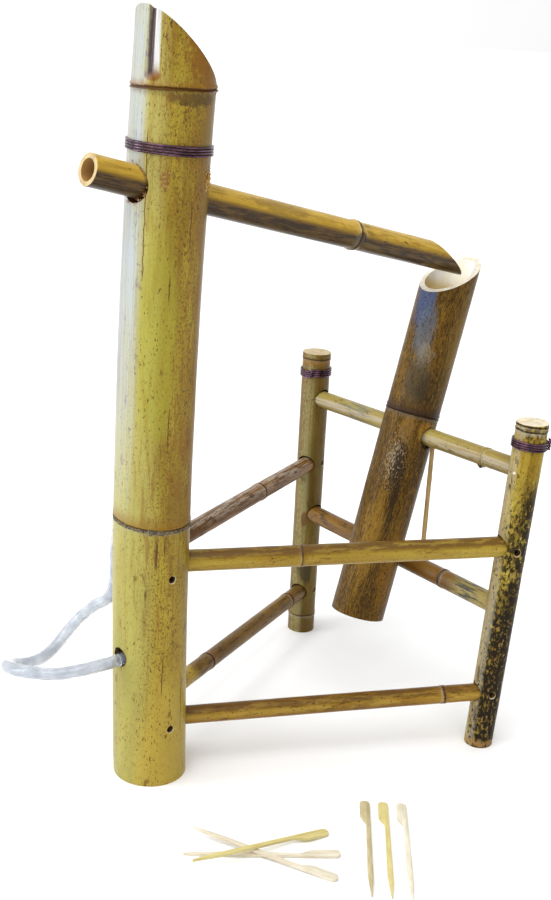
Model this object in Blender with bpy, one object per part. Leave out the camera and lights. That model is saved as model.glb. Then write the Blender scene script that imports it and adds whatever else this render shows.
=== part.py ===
"""Bamboo water spout: a hose feeds a spout, whose water fills a tube that tips about an axle bar.

Metres, +Z up. +X runs from the main post to the middle of the two short posts, and +Y towards the
rear short post. Places here are counted from the centre of the main post's foot on the ground. The
finished fountain is then set down with the origin under the middle of its box.
"""

import math

import bmesh
import bpy
from mathutils import Matrix, Vector

TURN = 2.0 * math.pi

# Clearances and overruns shared by the whole fountain
GAP = 0.0003
OVERRUN = 0.004

# Sides of round pieces
MAIN_SIDES = 36
ROCKER_SIDES = 32
POST_SIDES = 24
SPOUT_SIDES = 24
CANE_SIDES = 16
SMALL_SIDES = 12

# Main post, a thick culm that leans a little and bows
MAIN_HEIGHT = 0.760
MAIN_FOOT_R = 0.0376
MAIN_TOP_R = 0.0380
MAIN_WALL = 0.0070
MAIN_LEAN_X_SHARE = 0.0042
MAIN_LEAN_Y_SHARE = -0.0024
MAIN_BOW_X = -0.0068
MAIN_BOW_Y = 0.0044
MAIN_SLANT_DEG = 45.0
MAIN_LOW_NODE_SHARE = 0.3737
MAIN_TOP_NODE_SHARE = 0.9105
MAIN_DIAPHRAGM = 0.0060
MAIN_LOW_NODE_Z = MAIN_LOW_NODE_SHARE * MAIN_HEIGHT
MAIN_TOP_NODE_Z = MAIN_TOP_NODE_SHARE * MAIN_HEIGHT

# Short posts, which stand side by side in front of the main post and follow its height
FRONT_POST_X = 0.3330
FRONT_POST_Y = -0.1635
REAR_POST_X = 0.3515
REAR_POST_Y = 0.1635
POST_HEIGHT_SHARE = 0.48947
POST_HEIGHT = POST_HEIGHT_SHARE * MAIN_HEIGHT
POST_WALL = 0.0035
POST_LID = 0.0110
FRONT_FOOT_R = 0.0155
FRONT_TOP_R = 0.0170
REAR_POST_R = 0.0170
FRONT_LEAN_SHARE = 0.0659
REAR_LEAN_X_SHARE = -0.0116
REAR_LEAN_Y_SHARE = 0.0058
REAR_LOW_NODE_Z = 0.0236

# Node ridges: half length along the culm and rise over it
NODE_HALF = 0.0050
MAIN_NODE_RISE = 0.0009
POST_NODE_RISE = 0.0006
CANE_NODE_RISE = 0.0007
NODE_SHARES = ((-1.0, 0.0), (-0.35, 0.7), (0.0, 0.2), (0.35, 1.0), (1.0, 0.0))

# Canes between the posts: radius, and the two ends' heights as shares of the short posts' height
UPPER_FRONT_MAIN_SHARE = 0.6290
UPPER_FRONT_POST_SHARE = 0.6277
UPPER_FRONT_R = 0.0111
LOWER_FRONT_MAIN_SHARE = 0.1573
LOWER_FRONT_POST_SHARE = 0.1667
LOWER_FRONT_R = 0.0096
UPPER_REAR_MAIN_SHARE = 0.6519
UPPER_REAR_POST_SHARE = 0.6156
UPPER_REAR_R = 0.0100
LOWER_REAR_MAIN_SHARE = 0.1962
LOWER_REAR_POST_SHARE = 0.1478
LOWER_REAR_R = 0.00965
AXLE_FRONT_SHARE = 0.8562
AXLE_REAR_SHARE = 0.8468
AXLE_R = 0.0103
STOP_FRONT_SHARE = 0.4368
STOP_REAR_SHARE = 0.4409
STOP_R = 0.0107
UPPER_FRONT_MAIN_Z = UPPER_FRONT_MAIN_SHARE * POST_HEIGHT
UPPER_FRONT_POST_Z = UPPER_FRONT_POST_SHARE * POST_HEIGHT
LOWER_FRONT_MAIN_Z = LOWER_FRONT_MAIN_SHARE * POST_HEIGHT
LOWER_FRONT_POST_Z = LOWER_FRONT_POST_SHARE * POST_HEIGHT
UPPER_REAR_MAIN_Z = UPPER_REAR_MAIN_SHARE * POST_HEIGHT
UPPER_REAR_POST_Z = UPPER_REAR_POST_SHARE * POST_HEIGHT
LOWER_REAR_MAIN_Z = LOWER_REAR_MAIN_SHARE * POST_HEIGHT
LOWER_REAR_POST_Z = LOWER_REAR_POST_SHARE * POST_HEIGHT
AXLE_FRONT_Z = AXLE_FRONT_SHARE * POST_HEIGHT
AXLE_REAR_Z = AXLE_REAR_SHARE * POST_HEIGHT
STOP_FRONT_Z = STOP_FRONT_SHARE * POST_HEIGHT
STOP_REAR_Z = STOP_REAR_SHARE * POST_HEIGHT
MAIN_RAIL_PAST = 0.0060
POST_RAIL_PAST = 0.0055
RAIL_PLAY = 0.0010
UPPER_FRONT_NODE_SHARE = 0.40
LOWER_FRONT_NODE_SHARE = 0.85
UPPER_REAR_NODE_SHARE = 0.59
LOWER_REAR_NODE_SHARE = 0.28
AXLE_NODE_SHARE = 0.17
STOP_NODE_SHARE = 0.27

# Peg holes, drilled through one wall of a post and through the rail in it
PEG_HOLE_R = 0.00375
UPPER_FRONT_MAIN_PEG_RISE = -0.0050
LOWER_FRONT_MAIN_PEG_RISE = 0.0045
UPPER_FRONT_PEG_RISE = -0.0015
LOWER_FRONT_PEG_RISE = 0.0027
REAR_PEG_RISE = 0.0020

# Axle dowel, driven through the front short post into the axle bar
DOWEL_R = 0.0020
DOWEL_DEPTH = 0.0060
DOWEL_PROUD = 0.0005

# Keeper stick between the axle bar and the stop bar
KEEPER_R = 0.00275
KEEPER_SEAT = 0.0035
KEEPER_TOP_CLEARANCE = 0.00195
KEEPER_LOW_CLEARANCE = 0.00845

# Spout, a thin culm through the main post
SPOUT_HEIGHT_SHARE = 0.7921
SPOUT_Z = SPOUT_HEIGHT_SHARE * MAIN_HEIGHT
SPOUT_PITCH_DEG = 13.0
SPOUT_R = 0.0147
SPOUT_WALL = 0.0045
SPOUT_BACK = 0.0870
SPOUT_REACH = 0.4180
SPOUT_SCOOP = 0.0600
SPOUT_NODE = 0.2400
SPOUT_PLAY = 0.0022

# Rocker, a culm that tips about the axle bar. Lengths run along it from the axle's centre,
# and their shares are of the short posts' height.
ROCKER_R = 0.0307
ROCKER_WALL = 0.0050
ROCKER_Y = 0.0019
ROCKER_OFFSET = 0.0053
ROCKER_HIGH_SHARE = 0.5578
ROCKER_LOW_SHARE = 0.4218
ROCKER_TAIL_SHARE = 0.5941
ROCKER_HIGH = ROCKER_HIGH_SHARE * POST_HEIGHT
ROCKER_LOW = ROCKER_LOW_SHARE * POST_HEIGHT
ROCKER_TAIL = ROCKER_TAIL_SHARE * POST_HEIGHT
ROCKER_NODE = 0.0220
ROCKER_DIAPHRAGM = 0.0050
ROCKER_PLAY = 0.0024
ROCKER_PLAY_DEG = 45.0

# Hose: the riser inside the main post, then the tail that lies free behind it, whose points'
# heights are counted from the hose's height at the post
HOSE_R = 0.00635
HOSE_BORE_R = 0.00480
HOSE_MOUTH_X = -0.0420
HOSE_STUB = 0.0040
HOSE_HEIGHT_SHARE = 0.18026
HOSE_Z = HOSE_HEIGHT_SHARE * MAIN_HEIGHT
HOSE_HOLE_R = 0.0100
HOSE_TURN_R = 0.0340
RISER_OFFSET = 0.0150
RISER_STEPS = 8
TAIL_STEP_DIAMETERS = 2.2
TAIL_ROUTE = (
    (-0.0423, 0.0006, 0.0000), (-0.0550, 0.0006, 0.0000), (-0.0824, 0.0053, -0.0014),
    (-0.1022, 0.0144, -0.0036), (-0.1169, 0.0286, -0.0050), (-0.1261, 0.0489, -0.0089),
    (-0.1264, 0.0688, -0.0142), (-0.1189, 0.0876, -0.0218), (-0.1048, 0.1017, -0.0315),
    (-0.0844, 0.1092, -0.0395), (-0.0633, 0.1139, -0.0413), (-0.0440, 0.1186, -0.0341),
    (-0.0277, 0.1190, -0.0198), (-0.0167, 0.1120, -0.0034), (-0.0113, 0.0968, 0.0130),
    (-0.0114, 0.0804, 0.0245), (-0.0138, 0.0625, 0.0385), (-0.0160, 0.0514, 0.0552),
    (-0.0174, 0.0465, 0.0768), (-0.0173, 0.0466, 0.0982), (-0.0154, 0.0476, 0.1202),
    (-0.0134, 0.0480, 0.1422), (-0.0112, 0.0482, 0.1656), (-0.0094, 0.0485, 0.1848),
)

# Wire bindings, each one length of wire wound round a post
WIRE_R = 0.0010
WIRE_PITCH = 0.00245
WIRE_TURNS = 4
WIRE_LOOP_POINTS = 24
MAIN_BINDING_SHARE = 0.8421
MAIN_BINDING_Z = MAIN_BINDING_SHARE * MAIN_HEIGHT
FRONT_BINDING_DROP = 0.0230
REAR_BINDING_DROP = 0.0240
BINDING_START_DEG = 200.0

# Pegs: flat sticks with a wide head whose one edge runs straight into the stick
PEG_LENGTH = 0.1500
PEG_HEAD_WIDTH = 0.0100
PEG_STICK_WIDTH = 0.0043
PEG_THICK = 0.0030
PEG_HEAD_ROUND = 0.0040
PEG_ARC_STEPS = 6
PEG_TIP_WIDTH = 0.0008
PEG_SWELL = 0.0008
PEG_HEAD_SHARE = 0.16
PEG_SHOULDER_SHARE = 0.27
PEG_SWELL_SHARE = 0.78
PEG_TAPER_SHARE = 0.86
PILE_X = -0.0050
PILE_Y = -0.1815
FLOOR_PEG_HEAD = (0.0612, -0.2318)
FLOOR_PEG_HEADING_DEG = 143.8
MIDDLE_PEG_HEAD = (0.0325, -0.2574)
MIDDLE_PEG_HEADING_DEG = 115.9
TOP_PEG_HEAD = (0.0770, -0.1928)
TOP_PEG_HEADING_DEG = 171.9
ROW_PEGS = 3
ROW_PEG_HEAD = (0.1445, -0.1810)
ROW_PEG_STEP = (0.01405, -0.0123)
ROW_PEG_HEADING_DEG = 228.1

# Colours, roughness and metallic value of each finish
FINISHES = {
    "old_culm": ((0.42, 0.27, 0.11, 1.0), 0.38, 0.0),
    "olive_culm": ((0.45, 0.37, 0.15, 1.0), 0.36, 0.0),
    "golden_culm": ((0.62, 0.44, 0.16, 1.0), 0.35, 0.0),
    "brown_cane": ((0.47, 0.33, 0.17, 1.0), 0.42, 0.0),
    "gold_cane": ((0.60, 0.42, 0.17, 1.0), 0.38, 0.0),
    "peg_wood": ((0.74, 0.60, 0.36, 1.0), 0.60, 0.0),
    "copper_wire": ((0.45, 0.16, 0.14, 1.0), 0.30, 1.0),
    "clear_hose": ((0.80, 0.85, 0.90, 0.35), 0.15, 0.0),
}


def clear_scene():
    """Remove every object, so that each run starts from nothing."""
    for item in list(bpy.data.objects):
        bpy.data.objects.remove(item, do_unlink=True)


def finish(owner, look):
    """A material of this look for the object that owns it."""
    colour, roughness, metallic = FINISHES[look]
    material = bpy.data.materials.new(owner + "_finish")
    material.use_nodes = True
    shader = material.node_tree.nodes["Principled BSDF"]
    shader.inputs["Base Color"].default_value = colour
    shader.inputs["Alpha"].default_value = colour[-1]
    shader.inputs["Roughness"].default_value = roughness
    shader.inputs["Metallic"].default_value = metallic
    return material


def add_object(name, data, look=None):
    """Link an object that holds the data, with a material of its own if it has a look."""
    item = bpy.data.objects.new(name, data)
    bpy.context.scene.collection.objects.link(item)
    if look:
        data.materials.append(finish(name, look))
    return item


def shaded(mesh, sharp_deg=35.0):
    """Shade a mesh smooth with its sharp edges kept."""
    mesh.shade_smooth()
    mesh.set_sharp_from_angle(angle=math.radians(sharp_deg))


def tube_mesh(name, rings, sides):
    """Skin a closed round body through rings of (centre, radius), bottom to top."""
    body = bmesh.new()
    loops = []
    for centre, radius in rings:
        loop = []
        for step in range(sides):
            angle = TURN * step / sides
            spoke = Vector((math.cos(angle), math.sin(angle), 0.0))
            loop.append(body.verts.new(centre + radius * spoke))
        loops.append(loop)
    for low, high in zip(loops, loops[1:]):
        for step in range(sides):
            after = (step + 1) % sides
            body.faces.new((low[step], low[after], high[after], high[step]))
    body.faces.new(list(reversed(loops[0])))
    body.faces.new(loops[-1])
    mesh = bpy.data.meshes.new(name)
    body.to_mesh(mesh)
    body.free()
    shaded(mesh)
    return mesh


def aimed(start, end):
    """The placing that carries local +Z along the line from start to end."""
    turn = Vector((0.0, 0.0, 1.0)).rotation_difference(end - start)
    return Matrix.Translation(start) @ turn.to_matrix().to_4x4()


def hide_guide(item):
    """Mark a cutter, which is no part of the model."""
    item.hide_render = True
    item.display_type = 'WIRE'
    return item


def cut(target, cutter):
    """Take the cutter's shape out of the target."""
    bore = target.modifiers.new(cutter.name, 'BOOLEAN')
    bore.operation = 'DIFFERENCE'
    bore.solver = 'EXACT'
    bore.object = cutter


def drill(target, label, start, end, radius, sides=CANE_SIDES):
    """Drill a round hole from start to end whose flats lie at the radius."""
    outer = radius / math.cos(math.pi / sides)
    length = (end - start).length
    rings = [(Vector((0.0, 0.0, 0.0)), outer), (Vector((0.0, 0.0, length)), outer)]
    cutter = add_object(label, tube_mesh(label, rings, sides))
    cutter.matrix_world = aimed(start, end)
    cut(target, hide_guide(cutter))


def hollow(target, label, rings, sides):
    """Take out a chamber that runs through rings of (centre, radius)."""
    grown = [(centre, radius / math.cos(math.pi / sides)) for centre, radius in rings]
    cutter = add_object(label, tube_mesh(label, grown, sides))
    cutter.matrix_world = target.matrix_world.copy()
    cut(target, hide_guide(cutter))


def slice_off(target, label, point, normal, span):
    """Cut away what lies beyond the plane through the point, on its normal's side."""
    mesh = bpy.data.meshes.new(label)
    block = bmesh.new()
    bmesh.ops.create_cube(block, size=1.0)
    bmesh.ops.scale(block, vec=Vector((span, span, span)), verts=block.verts)
    bmesh.ops.translate(block, vec=Vector((0.0, 0.0, span / 2)), verts=block.verts)
    block.to_mesh(mesh)
    block.free()
    cutter = add_object(label, mesh)
    cutter.matrix_world = aimed(point, point + normal)
    cut(target, hide_guide(cutter))


def node_rings(place, radius, rise):
    """The stations and radii of a node's ridge, groove and shoulder."""
    return [(place + along * NODE_HALF, radius + lift * rise) for along, lift in NODE_SHARES]


def flat(vector):
    """The vector without its height."""
    return Vector((vector.x, vector.y, 0.0))


def turned(degrees):
    """The level direction at this azimuth, counted from +X towards +Y."""
    angle = math.radians(degrees)
    return Vector((math.cos(angle), math.sin(angle), 0.0))


def main_axis(height):
    """The main post's centre at a height: its lean and its bow."""
    share = height / MAIN_HEIGHT
    bow = 4.0 * share * (1.0 - share)
    x = MAIN_LEAN_X_SHARE * height + MAIN_BOW_X * bow
    y = MAIN_LEAN_Y_SHARE * height + MAIN_BOW_Y * bow
    return Vector((x, y, height))


def main_radius(height):
    """The main post's outer radius at a height."""
    return MAIN_FOOT_R + (MAIN_TOP_R - MAIN_FOOT_R) * height / MAIN_HEIGHT


def front_axis(height):
    """The front short post's centre at a height."""
    return Vector((FRONT_POST_X + FRONT_LEAN_SHARE * height, FRONT_POST_Y, height))


def front_radius(height):
    """The front short post's outer radius at a height."""
    return FRONT_FOOT_R + (FRONT_TOP_R - FRONT_FOOT_R) * height / POST_HEIGHT


def rear_axis(height):
    """The rear short post's centre at a height."""
    x = REAR_POST_X + REAR_LEAN_X_SHARE * height
    y = REAR_POST_Y + REAR_LEAN_Y_SHARE * height
    return Vector((x, y, height))


def rear_radius(_height):
    """The rear short post's outer radius, alike at every height."""
    return REAR_POST_R


def make_main_post():
    """The thick culm: three chambers, a slanted top, and the bored lower diaphragm."""
    middle = (MAIN_LOW_NODE_Z + MAIN_TOP_NODE_Z) / 2
    top = MAIN_HEIGHT + OVERRUN
    plain = (0.0, MAIN_LOW_NODE_Z / 2, middle, MAIN_BINDING_Z, top)
    stations = [(height, main_radius(height)) for height in plain]
    for node in (MAIN_LOW_NODE_Z, MAIN_TOP_NODE_Z):
        stations += node_rings(node, main_radius(node), MAIN_NODE_RISE)
    stations.sort()
    rings = [(main_axis(height), radius) for height, radius in stations]
    post = add_object("main_post", tube_mesh("main_post", rings, MAIN_SIDES), "old_culm")
    low, high = MAIN_LOW_NODE_Z, MAIN_TOP_NODE_Z
    half = MAIN_DIAPHRAGM / 2
    chambers = {
        "main_foot_chamber": (-OVERRUN, low / 2, low - half),
        "main_middle_chamber": (low + half, middle, high - half),
        "main_top_chamber": (high + half, top + OVERRUN),
    }
    for label, heights in chambers.items():
        bores = [(main_axis(height), main_radius(height) - MAIN_WALL) for height in heights]
        hollow(post, label, bores, MAIN_SIDES)
    slant = math.radians(MAIN_SLANT_DEG)
    normal = Vector((math.sin(slant), 0.0, math.cos(slant)))
    tip = main_axis(MAIN_HEIGHT) - Vector((MAIN_TOP_R, 0.0, 0.0))
    slice_off(post, "main_slant", tip, normal, MAIN_HEIGHT)
    place = riser_axis(low)
    reach = Vector((0.0, 0.0, MAIN_DIAPHRAGM))
    drill(post, "main_diaphragm_bore", place - reach, place + reach, HOSE_R + GAP)
    return post


def make_short_post(name, axis, radius, nodes):
    """A thin upright: an open foot, a chamber and a closed top."""
    stations = [(0.0, radius(0.0)), (POST_HEIGHT / 2, radius(POST_HEIGHT / 2))]
    top_node = POST_HEIGHT - POST_LID / 2
    for node in nodes + [top_node]:
        stations += node_rings(node, radius(node), POST_NODE_RISE)
    stations = sorted(station for station in stations if station[0] < POST_HEIGHT)
    stations += [(POST_HEIGHT, radius(POST_HEIGHT))]
    rings = [(axis(height), size) for height, size in stations]
    post = add_object(name, tube_mesh(name, rings, POST_SIDES), "olive_culm")
    ceiling = POST_HEIGHT - POST_LID
    bores = [(axis(height), radius(height) - POST_WALL) for height in (-OVERRUN, ceiling)]
    hollow(post, name + "_chamber", bores, POST_SIDES)
    return post


def make_cane(name, start, end, radius, node_share, look):
    """A thin solid cane with one node ridge, laid from start to end."""
    length = (end - start).length
    stations = [(0.0, radius), (length, radius)]
    stations += node_rings(node_share * length, radius, CANE_NODE_RISE)
    stations.sort()
    rings = [(Vector((0.0, 0.0, along)), size) for along, size in stations]
    cane = add_object(name, tube_mesh(name, rings, CANE_SIDES), look)
    cane.matrix_world = aimed(start, end)
    return cane


def socket(post, label, axis_point, outward, radius, depth, reach):
    """Bore a post for a cane that rests on the hole's lowest point."""
    raised = Vector((0.0, 0.0, RAIL_PLAY))
    start = axis_point - depth * outward + raised
    end = axis_point + reach * outward + raised
    drill(post, label, start, end, radius + RAIL_PLAY + GAP)


def peg_hole(post, rail, label, place, facing, post_radius, rail_end_reach):
    """Drill a peg's hole in through the post's near wall and on through the rail."""
    mouth = place + (post_radius + OVERRUN) * facing
    drill(post, label + "_wall", place, mouth, PEG_HOLE_R, SMALL_SIDES)
    far = place - (rail_end_reach + OVERRUN) * facing
    drill(rail, label + "_rail", far, mouth, PEG_HOLE_R, SMALL_SIDES)


def make_front_rails(main, post):
    """The two front rails, run past the main post's centre, with sockets and peg holes."""
    table = (
        ("upper_front_rail", UPPER_FRONT_MAIN_Z, UPPER_FRONT_POST_Z, UPPER_FRONT_R,
         UPPER_FRONT_NODE_SHARE, UPPER_FRONT_MAIN_PEG_RISE, UPPER_FRONT_PEG_RISE, "gold_cane"),
        ("lower_front_rail", LOWER_FRONT_MAIN_Z, LOWER_FRONT_POST_Z, LOWER_FRONT_R,
         LOWER_FRONT_NODE_SHARE, LOWER_FRONT_MAIN_PEG_RISE, LOWER_FRONT_PEG_RISE, "brown_cane"),
    )
    for name, main_z, post_z, radius, share, main_rise, post_rise, look in table:
        inner = main_axis(main_z)
        outer = front_axis(post_z)
        line = (outer - inner).normalized()
        rail = make_cane(name, inner - MAIN_RAIL_PAST * line, outer + POST_RAIL_PAST * line,
                         radius, share, look)
        main_out = main_radius(main_z) + OVERRUN
        socket(main, name + "_main_socket", inner, line, radius, 0.0, main_out)
        post_out = front_radius(post_z) + OVERRUN
        socket(post, name + "_post_socket", outer, -line, radius, POST_RAIL_PAST + GAP, post_out)
        main_place = inner + Vector((0.0, 0.0, main_rise))
        peg_hole(main, rail, name + "_main_peg", main_place, turned(-90.0), main_radius(main_z), radius)
        square = flat(line).normalized().cross(Vector((0.0, 0.0, 1.0)))
        post_place = outer + Vector((0.0, 0.0, post_rise))
        peg_hole(post, rail, name + "_post_peg", post_place, square, front_radius(post_z), radius)


def butt_distance(front_line, rear_line, front_r, rear_r):
    """How far from the main post's centre a rear rail ends against a front rail's side."""
    between = flat(front_line).angle(flat(rear_line))
    return (front_r + GAP + rear_r * abs(math.cos(between))) / math.sin(between)


def make_rear_rails(main, post):
    """The two rear rails, which end against the front rails inside the main post."""
    table = (
        ("upper_rear_rail", UPPER_REAR_MAIN_Z, UPPER_REAR_POST_Z, UPPER_REAR_R,
         UPPER_REAR_NODE_SHARE, UPPER_FRONT_MAIN_Z, UPPER_FRONT_POST_Z, UPPER_FRONT_R, "brown_cane"),
        ("lower_rear_rail", LOWER_REAR_MAIN_Z, LOWER_REAR_POST_Z, LOWER_REAR_R,
         LOWER_REAR_NODE_SHARE, LOWER_FRONT_MAIN_Z, LOWER_FRONT_POST_Z, LOWER_FRONT_R, "brown_cane"),
    )
    for name, main_z, post_z, radius, share, front_main_z, front_post_z, front_r, look in table:
        inner = main_axis(main_z)
        outer = rear_axis(post_z)
        line = (outer - inner).normalized()
        front_line = front_axis(front_post_z) - main_axis(front_main_z)
        butt = butt_distance(front_line, line, front_r, radius)
        rail = make_cane(name, inner + butt * line, outer + POST_RAIL_PAST * line, radius, share, look)
        main_out = main_radius(main_z) + OVERRUN
        socket(main, name + "_main_socket", inner, line, radius, 0.0, main_out)
        post_out = rear_radius(post_z) + OVERRUN
        socket(post, name + "_post_socket", outer, -line, radius, POST_RAIL_PAST + GAP, post_out)
        square = flat(line).normalized().cross(Vector((0.0, 0.0, 1.0)))
        place = outer + Vector((0.0, 0.0, REAR_PEG_RISE))
        peg_hole(post, rail, name + "_post_peg", place, square, rear_radius(post_z), radius)


def bar_line(front_z, rear_z):
    """A cross bar's two ends on the short posts' centres, and its direction, front to rear."""
    front = front_axis(front_z)
    rear = rear_axis(rear_z)
    return front, rear, (rear - front).normalized()


def make_bar(name, front_z, rear_z, radius, share, look, front_post, rear_post):
    """A cross bar socketed in both short posts."""
    front, rear, line = bar_line(front_z, rear_z)
    bar = make_cane(name, front - POST_RAIL_PAST * line, rear + POST_RAIL_PAST * line, radius, share, look)
    depth = POST_RAIL_PAST + GAP
    socket(front_post, name + "_front_socket", front, line, radius, depth, front_radius(front_z) + OVERRUN)
    socket(rear_post, name + "_rear_socket", rear, -line, radius, depth, rear_radius(rear_z) + OVERRUN)
    return bar


def make_axle_dowel(axle, post):
    """The dowel through the front short post's wall into the axle bar's end."""
    place = front_axis(AXLE_FRONT_Z)
    out = turned(180.0)
    outer = place + (front_radius(AXLE_FRONT_Z) + DOWEL_PROUD) * out
    inner = place + (AXLE_R - DOWEL_DEPTH) * out
    length = (outer - inner).length
    rings = [(Vector((0.0, 0.0, 0.0)), DOWEL_R), (Vector((0.0, 0.0, length)), DOWEL_R)]
    dowel = add_object("axle_dowel", tube_mesh("axle_dowel", rings, SMALL_SIDES), "peg_wood")
    dowel.matrix_world = aimed(inner, outer)
    mouth = outer + OVERRUN * out
    drill(post, "dowel_post_hole", place, mouth, DOWEL_R + GAP, SMALL_SIDES)
    drill(axle, "dowel_axle_hole", inner - GAP * out, mouth, DOWEL_R + GAP, SMALL_SIDES)


def point_on_bar(front, line, y):
    """The point of a bar's centre line at this y."""
    return front + line * ((y - front.y) / line.y)


def make_keeper_stick(axle, stop):
    """The thin stick beside the rocker, seated in the axle bar's underside and the stop bar's top."""
    axle_front, _, axle_line = bar_line(AXLE_FRONT_Z, AXLE_REAR_Z)
    stop_front, _, stop_line = bar_line(STOP_FRONT_Z, STOP_REAR_Z)
    side_y = ROCKER_Y - ROCKER_R - KEEPER_R
    top = point_on_bar(axle_front, axle_line, side_y - KEEPER_TOP_CLEARANCE)
    low = point_on_bar(stop_front, stop_line, side_y - KEEPER_LOW_CLEARANCE)
    line = (top - low).normalized()
    high_end = top - (AXLE_R - KEEPER_SEAT) * line
    low_end = low + (STOP_R - KEEPER_SEAT) * line
    length = (high_end - low_end).length
    rings = [(Vector((0.0, 0.0, 0.0)), KEEPER_R), (Vector((0.0, 0.0, length)), KEEPER_R)]
    stick = add_object("keeper_stick", tube_mesh("keeper_stick", rings, SMALL_SIDES), "brown_cane")
    stick.matrix_world = aimed(low_end, high_end)
    reach = (KEEPER_SEAT + OVERRUN) * line
    drill(axle, "keeper_axle_hole", high_end + GAP * line, high_end - reach, KEEPER_R + GAP, SMALL_SIDES)
    drill(stop, "keeper_stop_hole", low_end - GAP * line, low_end + reach, KEEPER_R + GAP, SMALL_SIDES)


def spout_frame():
    """Where the spout crosses the main post's axis, and its downhill direction."""
    pitch = math.radians(SPOUT_PITCH_DEG)
    centre = Vector((main_axis(SPOUT_Z).x, 0.0, SPOUT_Z))
    return centre, Vector((math.cos(pitch), 0.0, -math.sin(pitch)))


def make_spout(main):
    """The thin culm through the main post, bored right through, its lip cut to a scoop."""
    centre, line = spout_frame()
    start = centre - SPOUT_BACK * line
    end = centre + (SPOUT_REACH + OVERRUN) * line
    length = (end - start).length
    stations = [(0.0, SPOUT_R), (length, SPOUT_R)]
    stations += node_rings(SPOUT_BACK + SPOUT_NODE, SPOUT_R, CANE_NODE_RISE)
    stations.sort()
    rings = [(Vector((0.0, 0.0, along)), size) for along, size in stations]
    spout = add_object("spout", tube_mesh("spout", rings, SPOUT_SIDES), "golden_culm")
    spout.matrix_world = aimed(start, end)
    bore = [(Vector((0.0, 0.0, along)), SPOUT_R - SPOUT_WALL) for along in (-OVERRUN, length + OVERRUN)]
    hollow(spout, "spout_bore", bore, SPOUT_SIDES)
    up = Vector((-line.z, 0.0, line.x))
    tip = centre + SPOUT_REACH * line - SPOUT_R * up
    edge = (2 * SPOUT_R * up - SPOUT_SCOOP * line).normalized()
    normal = Vector((edge.z, 0.0, -edge.x))
    slice_off(spout, "spout_scoop", tip, normal, SPOUT_REACH)
    hole_drop = math.asin(SPOUT_PLAY / main_radius(SPOUT_Z))
    hole_pitch = math.radians(SPOUT_PITCH_DEG) - hole_drop
    hole_line = Vector((math.cos(hole_pitch), 0.0, -math.sin(hole_pitch)))
    reach = (main_radius(SPOUT_Z) + 2 * OVERRUN) * hole_line
    drill(main, "main_spout_hole", centre - reach, centre + reach, SPOUT_R + SPOUT_PLAY + GAP, SPOUT_SIDES)
    top = riser_top()
    depth = Vector((0.0, 0.0, SPOUT_WALL + OVERRUN))
    drill(spout, "spout_hose_hole", top - depth, top + depth / 2, HOSE_R + GAP)
    return spout


def rocker_frame():
    """The rocker's pivot, its hinge line and its rest directions along and across.

    The tilt is the one at which the tube's side just clears the stop bar.
    """
    front, _, hinge = bar_line(AXLE_FRONT_Z, AXLE_REAR_Z)
    pivot = point_on_bar(front, hinge, ROCKER_Y)
    stop_front, _, stop_line = bar_line(STOP_FRONT_Z, STOP_REAR_Z)
    level = hinge.cross(Vector((0.0, 0.0, 1.0))).normalized()
    upright = level.cross(hinge)
    to_stop = point_on_bar(stop_front, stop_line, ROCKER_Y) - pivot
    side = to_stop.dot(level)
    drop = -to_stop.dot(upright)
    free = ROCKER_R + STOP_R + GAP
    tilt = math.asin((free - ROCKER_OFFSET) / math.hypot(side, drop)) - math.atan2(side, drop)
    along = math.cos(tilt) * upright + math.sin(tilt) * level
    across = math.cos(tilt) * level - math.sin(tilt) * upright
    return pivot, hinge, along, across


def make_rocker():
    """The tipping tube, hung on an empty at its pivot, local +X across and +Z along it."""
    pivot, hinge, along, across = rocker_frame()
    hanger = bpy.data.objects.new("rocker_pivot", None)
    bpy.context.scene.collection.objects.link(hanger)
    hanger.matrix_world = Matrix.Translation(pivot) @ Matrix((across, hinge, along)).transposed().to_4x4()
    shift = Vector((-ROCKER_OFFSET, 0.0, 0.0))
    top = ROCKER_HIGH + OVERRUN
    stations = [(-ROCKER_TAIL, ROCKER_R), (top, ROCKER_R)] + node_rings(ROCKER_NODE, ROCKER_R, CANE_NODE_RISE)
    stations.sort()
    rings = [(shift + Vector((0.0, 0.0, station)), size) for station, size in stations]
    tube = add_object("rocker_tube", tube_mesh("rocker_tube", rings, ROCKER_SIDES), "olive_culm")
    tube.matrix_world = hanger.matrix_world.copy()
    half = ROCKER_DIAPHRAGM / 2
    chambers = {
        "rocker_tail_bore": (-ROCKER_TAIL - OVERRUN, ROCKER_NODE - half),
        "rocker_cup_bore": (ROCKER_NODE + half, top + OVERRUN),
    }
    for label, places in chambers.items():
        bores = [(shift + Vector((0.0, 0.0, place)), ROCKER_R - ROCKER_WALL) for place in places]
        hollow(tube, label, bores, ROCKER_SIDES)
    high = shift + Vector((ROCKER_R, 0.0, ROCKER_HIGH))
    low = shift + Vector((-ROCKER_R, 0.0, ROCKER_LOW))
    edge = hanger.matrix_world.to_3x3() @ (high - low).normalized()
    slice_off(tube, "rocker_mouth", hanger.matrix_world @ low, edge.cross(hinge), ROCKER_HIGH)
    play = math.radians(ROCKER_PLAY_DEG)
    hole = pivot - ROCKER_PLAY * (math.cos(play) * across + math.sin(play) * along)
    reach = (ROCKER_R + OVERRUN) * hinge
    drill(tube, "rocker_pivot_hole", hole - reach, hole + reach, AXLE_R + ROCKER_PLAY + GAP, POST_SIDES)
    tube.parent = hanger
    tube.matrix_parent_inverse = hanger.matrix_world.inverted()
    return tube


def hose_curve(name, points, radius, resolution):
    """A round tube with filled caps along a row of points."""
    line = bpy.data.curves.new(name, 'CURVE')
    line.dimensions = '3D'
    line.bevel_depth = radius
    line.bevel_resolution = resolution
    line.use_fill_caps = True
    spline = line.splines.new('POLY')
    spline.points.add(len(points) - 1)
    for knot, point in zip(spline.points, points):
        knot.co = (point[0], point[1], point[2], 1.0)
    spline.use_smooth = True
    return line


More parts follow.
